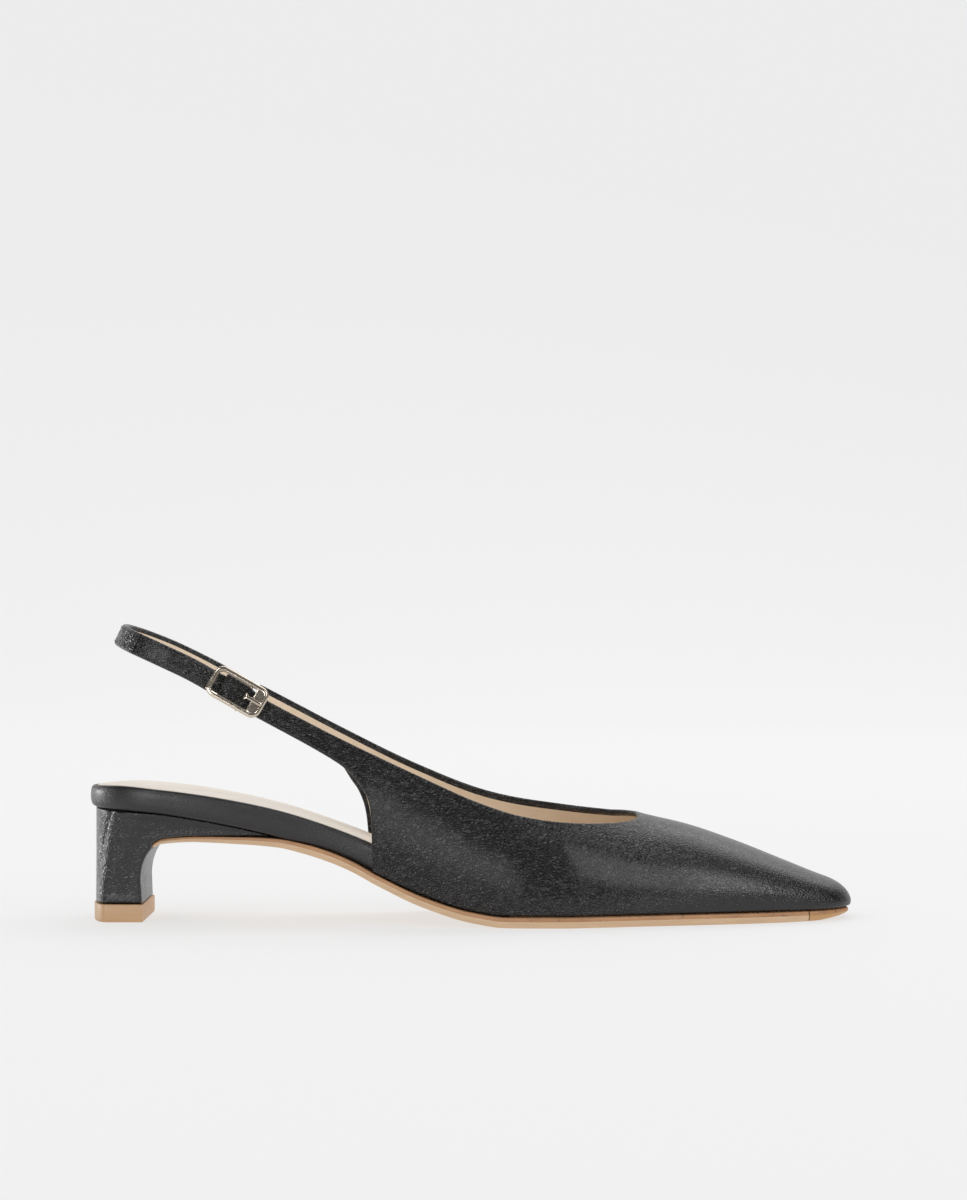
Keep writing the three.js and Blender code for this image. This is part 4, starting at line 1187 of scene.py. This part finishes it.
# The middle line of the strap, from the buckle's bar round the heel to the inner quarter
def sling_curve():
    start = in_strap([BAR_ALONG - EYE_RADIUS - GAP, 0, -BAR_DEPTH])
    lead = in_strap([BAR_ALONG - BUCKLE_LENGTH / 2, 0, -BAR_DEPTH])
    rows = [(station_x(at), y * BALL_WIDTH, sling_height(at) * STRAP_TOP) for at, y in SLING_PATH]
    end = (STUB_X - GAP, side_at(STUB_X, STUB_Z, MEDIAL) - WALL / 2, STUB_Z)
    return through([start, lead, *rows, end], 60)


sling = sling_curve()
SLING_LENGTH = lengths_of(sling)[-1]
start_up = wall_up(BUCKLE_X, BUCKLE_Z, LATERAL)
end_up = wall_up(STUB_X, STUB_Z, MEDIAL)


def sling_frame(u):
    u = np.asarray(u, float)
    p = along_line(sling, u)
    step = 0.004
    along = unit(along_line(sling, u + step) - along_line(sling, u - step))
    first = smoothstep(0.3 - u, 0, 0.25)[:, None]
    final = smoothstep(u, 0.72, 0.98)[:, None]
    lean = mix(mix(np.broadcast_to(strap_up, p.shape), start_up, first), end_up, final)
    out = unit(np.cross(lean, along))
    up = unit(np.cross(along, out))
    return p, along, up, out


BAND_EDGE = 0.85
BAND_CROWN = 0.1
TURNED_EDGE = 1.5
# How far from its end a lifted band starts to rise and is full, in millimetres
LAP = (3.4, 2.2)


# A strap: a band of two leathers with rounded edges
def build_band(name, start, stop, count, node, lift=0.0):
    u = np.linspace(start, stop, count)
    p, along, up, out = sling_frame(u)
    w = STRAP_WIDTH / 2
    d = STRAP / 2
    flat = w - BAND_EDGE
    turns = np.linspace(0, math.pi, 9)
    top = [(flat + BAND_EDGE * math.sin(t), d * math.cos(t)) for t in turns]
    faces_out = [(x, d + BAND_CROWN * (1 - (x / w) ** 2)) for x in np.linspace(-flat, flat, 9)[1:-1]]
    low = [(-flat - BAND_EDGE * math.sin(t), -d * math.cos(t)) for t in turns]
    faces_in = [(x, -d) for x in np.linspace(flat, -flat, 9)[1:-1]]
    loop = top + faces_in + low + faces_out
    loop = loop[4:] + loop[:4]
    n = len(loop)
    lap = lift * smoothstep(u - start, LAP[0] / SLING_LENGTH, LAP[1] / SLING_LENGTH)[:, None]
    rings = np.stack([p + up * x + out * (y + lap * (y > 0)) for x, y in loop], 1)
    verts, faces = loft(rings)
    picks = np.zeros(len(faces), int)
    pale = [x < w - TURNED_EDGE and y <= -0.6 * d for x, y in loop]
    inner = [k for k in range(n) if pale[k] and pale[(k + 1) % n]]
    for k in inner:
        picks[k:(count - 1) * n:n] = 1
    make(name, verts, faces, [strap_leather, lining], "strap_leather", [node], picks)


seam = GAP / 2 / SLING_LENGTH
build_band("heel_strap", SEAM_SHARE + seam, 1, 420, "sling_strap", lift=0.35)
build_band("front_strap", 0, SEAM_SHARE - seam, 150, "buckle_strap")


# Stitches: short rounded threads laid along a line on the leather
def stitches(name, points, normals, pitch=1.9, length=1.35, radius=0.17, slot="strap_leather"):
    lengths = lengths_of(points)
    count = max(int(lengths[-1] / pitch), 1)
    verts = []
    faces = []
    around = 6
    turns = np.linspace(0, 2 * math.pi, around, endpoint=False)
    spans = np.array([-0.5, -0.4, -0.2, 0.0, 0.2, 0.4, 0.5])
    sizes = np.array([0.2, 0.75, 1, 1, 1, 0.75, 0.2])
    for i in range(count):
        s = (i + 0.5) * pitch
        at = [np.interp(s, lengths, points[:, k]) for k in range(3)]
        to = [np.interp(s + 0.3, lengths, points[:, k]) for k in range(3)]
        n = unit(np.array([np.interp(s, lengths, normals[:, k]) for k in range(3)]))
        t = unit(np.array(to) - np.array(at))
        b = np.cross(t, n)
        base = len(verts)
        for span, size in zip(spans, sizes):
            lift = 0.06 - 0.5 * (2 * abs(span)) ** 3 * radius
            for a in turns:
                off = radius * size * (math.cos(a) * b + 0.8 * math.sin(a) * n)
                verts.append(np.array(at) + t * span * length + n * lift + off)
        for r in range(len(spans) - 1):
            for k in range(around):
                a = base + r * around + k
                c = base + r * around + (k + 1) % around
                faces.append([a, c, c + around, a + around])
        faces.append([base + k for k in range(around)][::-1])
        faces.append([base + (len(spans) - 1) * around + k for k in range(around)])
    make(name, np.array(verts), faces, [thread], slot)


def strap_stitches():
    runs = (
        ("heel_strap_stitches", SEAM_SHARE + 0.02, 0.99),
        ("front_strap_stitches", 0.1, SEAM_SHARE - 0.008),
    )
    for name, start, stop in runs:
        for label, across in (("lower", -1), ("upper", 1)):
            u = np.linspace(start, stop, 300)
            p, along, up, out = sling_frame(u)
            line = p + up * across * (STRAP_WIDTH / 2 - 1.2) + out * (STRAP / 2 + 0.02)
            stitches(name + "_" + label, line, out)
    p, along, up, out = sling_frame(np.full(40, SEAM_SHARE - 1.3 / SLING_LENGTH))
    across = np.linspace(-STRAP_WIDTH / 2 + 0.9, STRAP_WIDTH / 2 - 0.9, 40)[:, None]
    stitches("seam_stitches", p + up * across + out * (STRAP / 2 + 0.08), out, pitch=1.15, length=0.85)


def edge_stitches():
    near = 2
    ribs = STRAP_RIBS + QUARTER_RIBS + 1
    sides = (("quarter_stitches", slice(0, ribs)), ("inner_quarter_stitches", slice(-ribs, None)))
    for name, rows in sides:
        stitches(name, upper_grid[rows, near], upper_normal[rows, near], slot="upper_leather")


# Places of the punched holes, in millimetres, and radius and rise of their profile
HOLE_SPOTS = ((-79.9, 80.9), (-63.9, 70.4))
HOLE_PROFILE = ((0.02, -0.25), (0.3, -0.2), (0.42, 0.03), (0.55, 0.09), (0.72, 0.02), (0.8, -0.15))


# Punched holes in the tab: a dark well with a pressed rim
def strap_holes():
    turns = np.linspace(0, 2 * math.pi, 20, endpoint=False)
    for number, (x, z) in enumerate(HOLE_SPOTS, 1):
        spot = on_side(x, z, LATERAL)
        along = unit(on_side(x + 1, z, LATERAL) - spot)
        up = unit(on_side(x, z + 1, LATERAL) - spot)
        out = unit(np.cross(along, up))
        rows = []
        for radius, rise in HOLE_PROFILE:
            loop = [along * radius * math.cos(a) + up * radius * math.sin(a) for a in turns]
            rows.append([spot + step + out * rise for step in loop])
        make(f"strap_hole_{number}", *tube(rows), [upper_leather], "upper_leather")


strap_stitches()
edge_stitches()
strap_holes()

# Camera, at the photograph's place and lens: its focal length and picture height are in pixels
FOCAL_LENGTH = 2915
PICTURE_HEIGHT = 1200
SENSOR = 36
CAMERA_PLACE = [4.1, -1000, 108.7]
camera_data = bpy.data.cameras.new("camera")
camera = placed("camera", camera_data)
camera_data.sensor_width = SENSOR
camera_data.lens = FOCAL_LENGTH / PICTURE_HEIGHT * SENSOR
camera_data.clip_start = 0.05
camera_data.clip_end = 50
camera.location = to_metres(CAMERA_PLACE)
camera.rotation_euler = (math.pi / 2, 0, 0)
bpy.context.scene.camera = camera


# Floor and backdrop in one sweep
def backdrop():
    s = Shader("paper")
    s.set(Base_Color=PAPER, Roughness=0.95)
    s.bsdf.inputs["Specular IOR Level"].default_value = 0.1
    s.bsdf.inputs["Emission Color"].default_value = WHITE
    s.bsdf.inputs["Emission Strength"].default_value = 0.625
    s.bump((s.noise(400, 2), 0.05, 0.0001))
    bend = 1.5
    profile = [(-4.0, 0.0), (bend, 0.0)]
    for a in np.linspace(0, math.pi / 2, 24)[1:]:
        profile.append((bend + bend * math.sin(a), bend - bend * math.cos(a)))
    profile.append((3.0, 6.0))
    verts = []
    for x in (-6.0, 6.0):
        verts += [(x, y, z) for y, z in profile]
    n = len(profile)
    faces = [[i, i + 1, n + i + 1, n + i] for i in range(n - 1)]
    mesh = bpy.data.meshes.new("backdrop")
    mesh.from_pydata(verts, [], faces)
    mesh.materials.append(s.material)
    mesh.polygons.foreach_set("use_smooth", np.full(len(mesh.polygons), True))
    placed("backdrop", mesh)


backdrop()


# Softboxes: name, place, aim, width, watts, height, and whether it fills or only shows in reflections
LIGHTS = (
    ("back_light", (0.5, 1.1, 1.6), (0, 0.05, 0), 1.8, 11.5, 1.2, True),
    ("right_light", (0.9, -1.07, 0.9), (0.05, 0, 0.03), 0.55, 11.5, 0.8, False),
    ("left_light", (-0.8, -1.48, 0.33), (-0.1, 0, 0.06), 1.2, 11, 0.4, False),
    ("key_light", (-0.47, -1.0, 1.0), (0, 0, 0.04), 0.35, 4, 0.35, False),
    ("rear_light", (-1.36, 0.63, 0.1), (-0.12, 0, 0.03), 0.5, 5.5, 0.16, False),
)
for name, place, target, width, power, height, fill in LIGHTS:
    data = bpy.data.lights.new(name, "AREA")
    data.energy = power
    data.shape = "RECTANGLE"
    data.size = width
    data.size_y = height
    light = placed(name, data)
    light.location = place
    light.rotation_euler = (Vector(target) - Vector(place)).to_track_quat("-Z", "Y").to_euler()
    light.visible_diffuse = fill

world = bpy.data.worlds.new("studio")
world.use_nodes = True
background = world.node_tree.nodes["Background"].inputs
background["Color"].default_value = WHITE
background["Strength"].default_value = 0.8
world.cycles_visibility.glossy = False
bpy.context.scene.world = world
bpy.context.scene.view_settings.view_transform = "Standard"
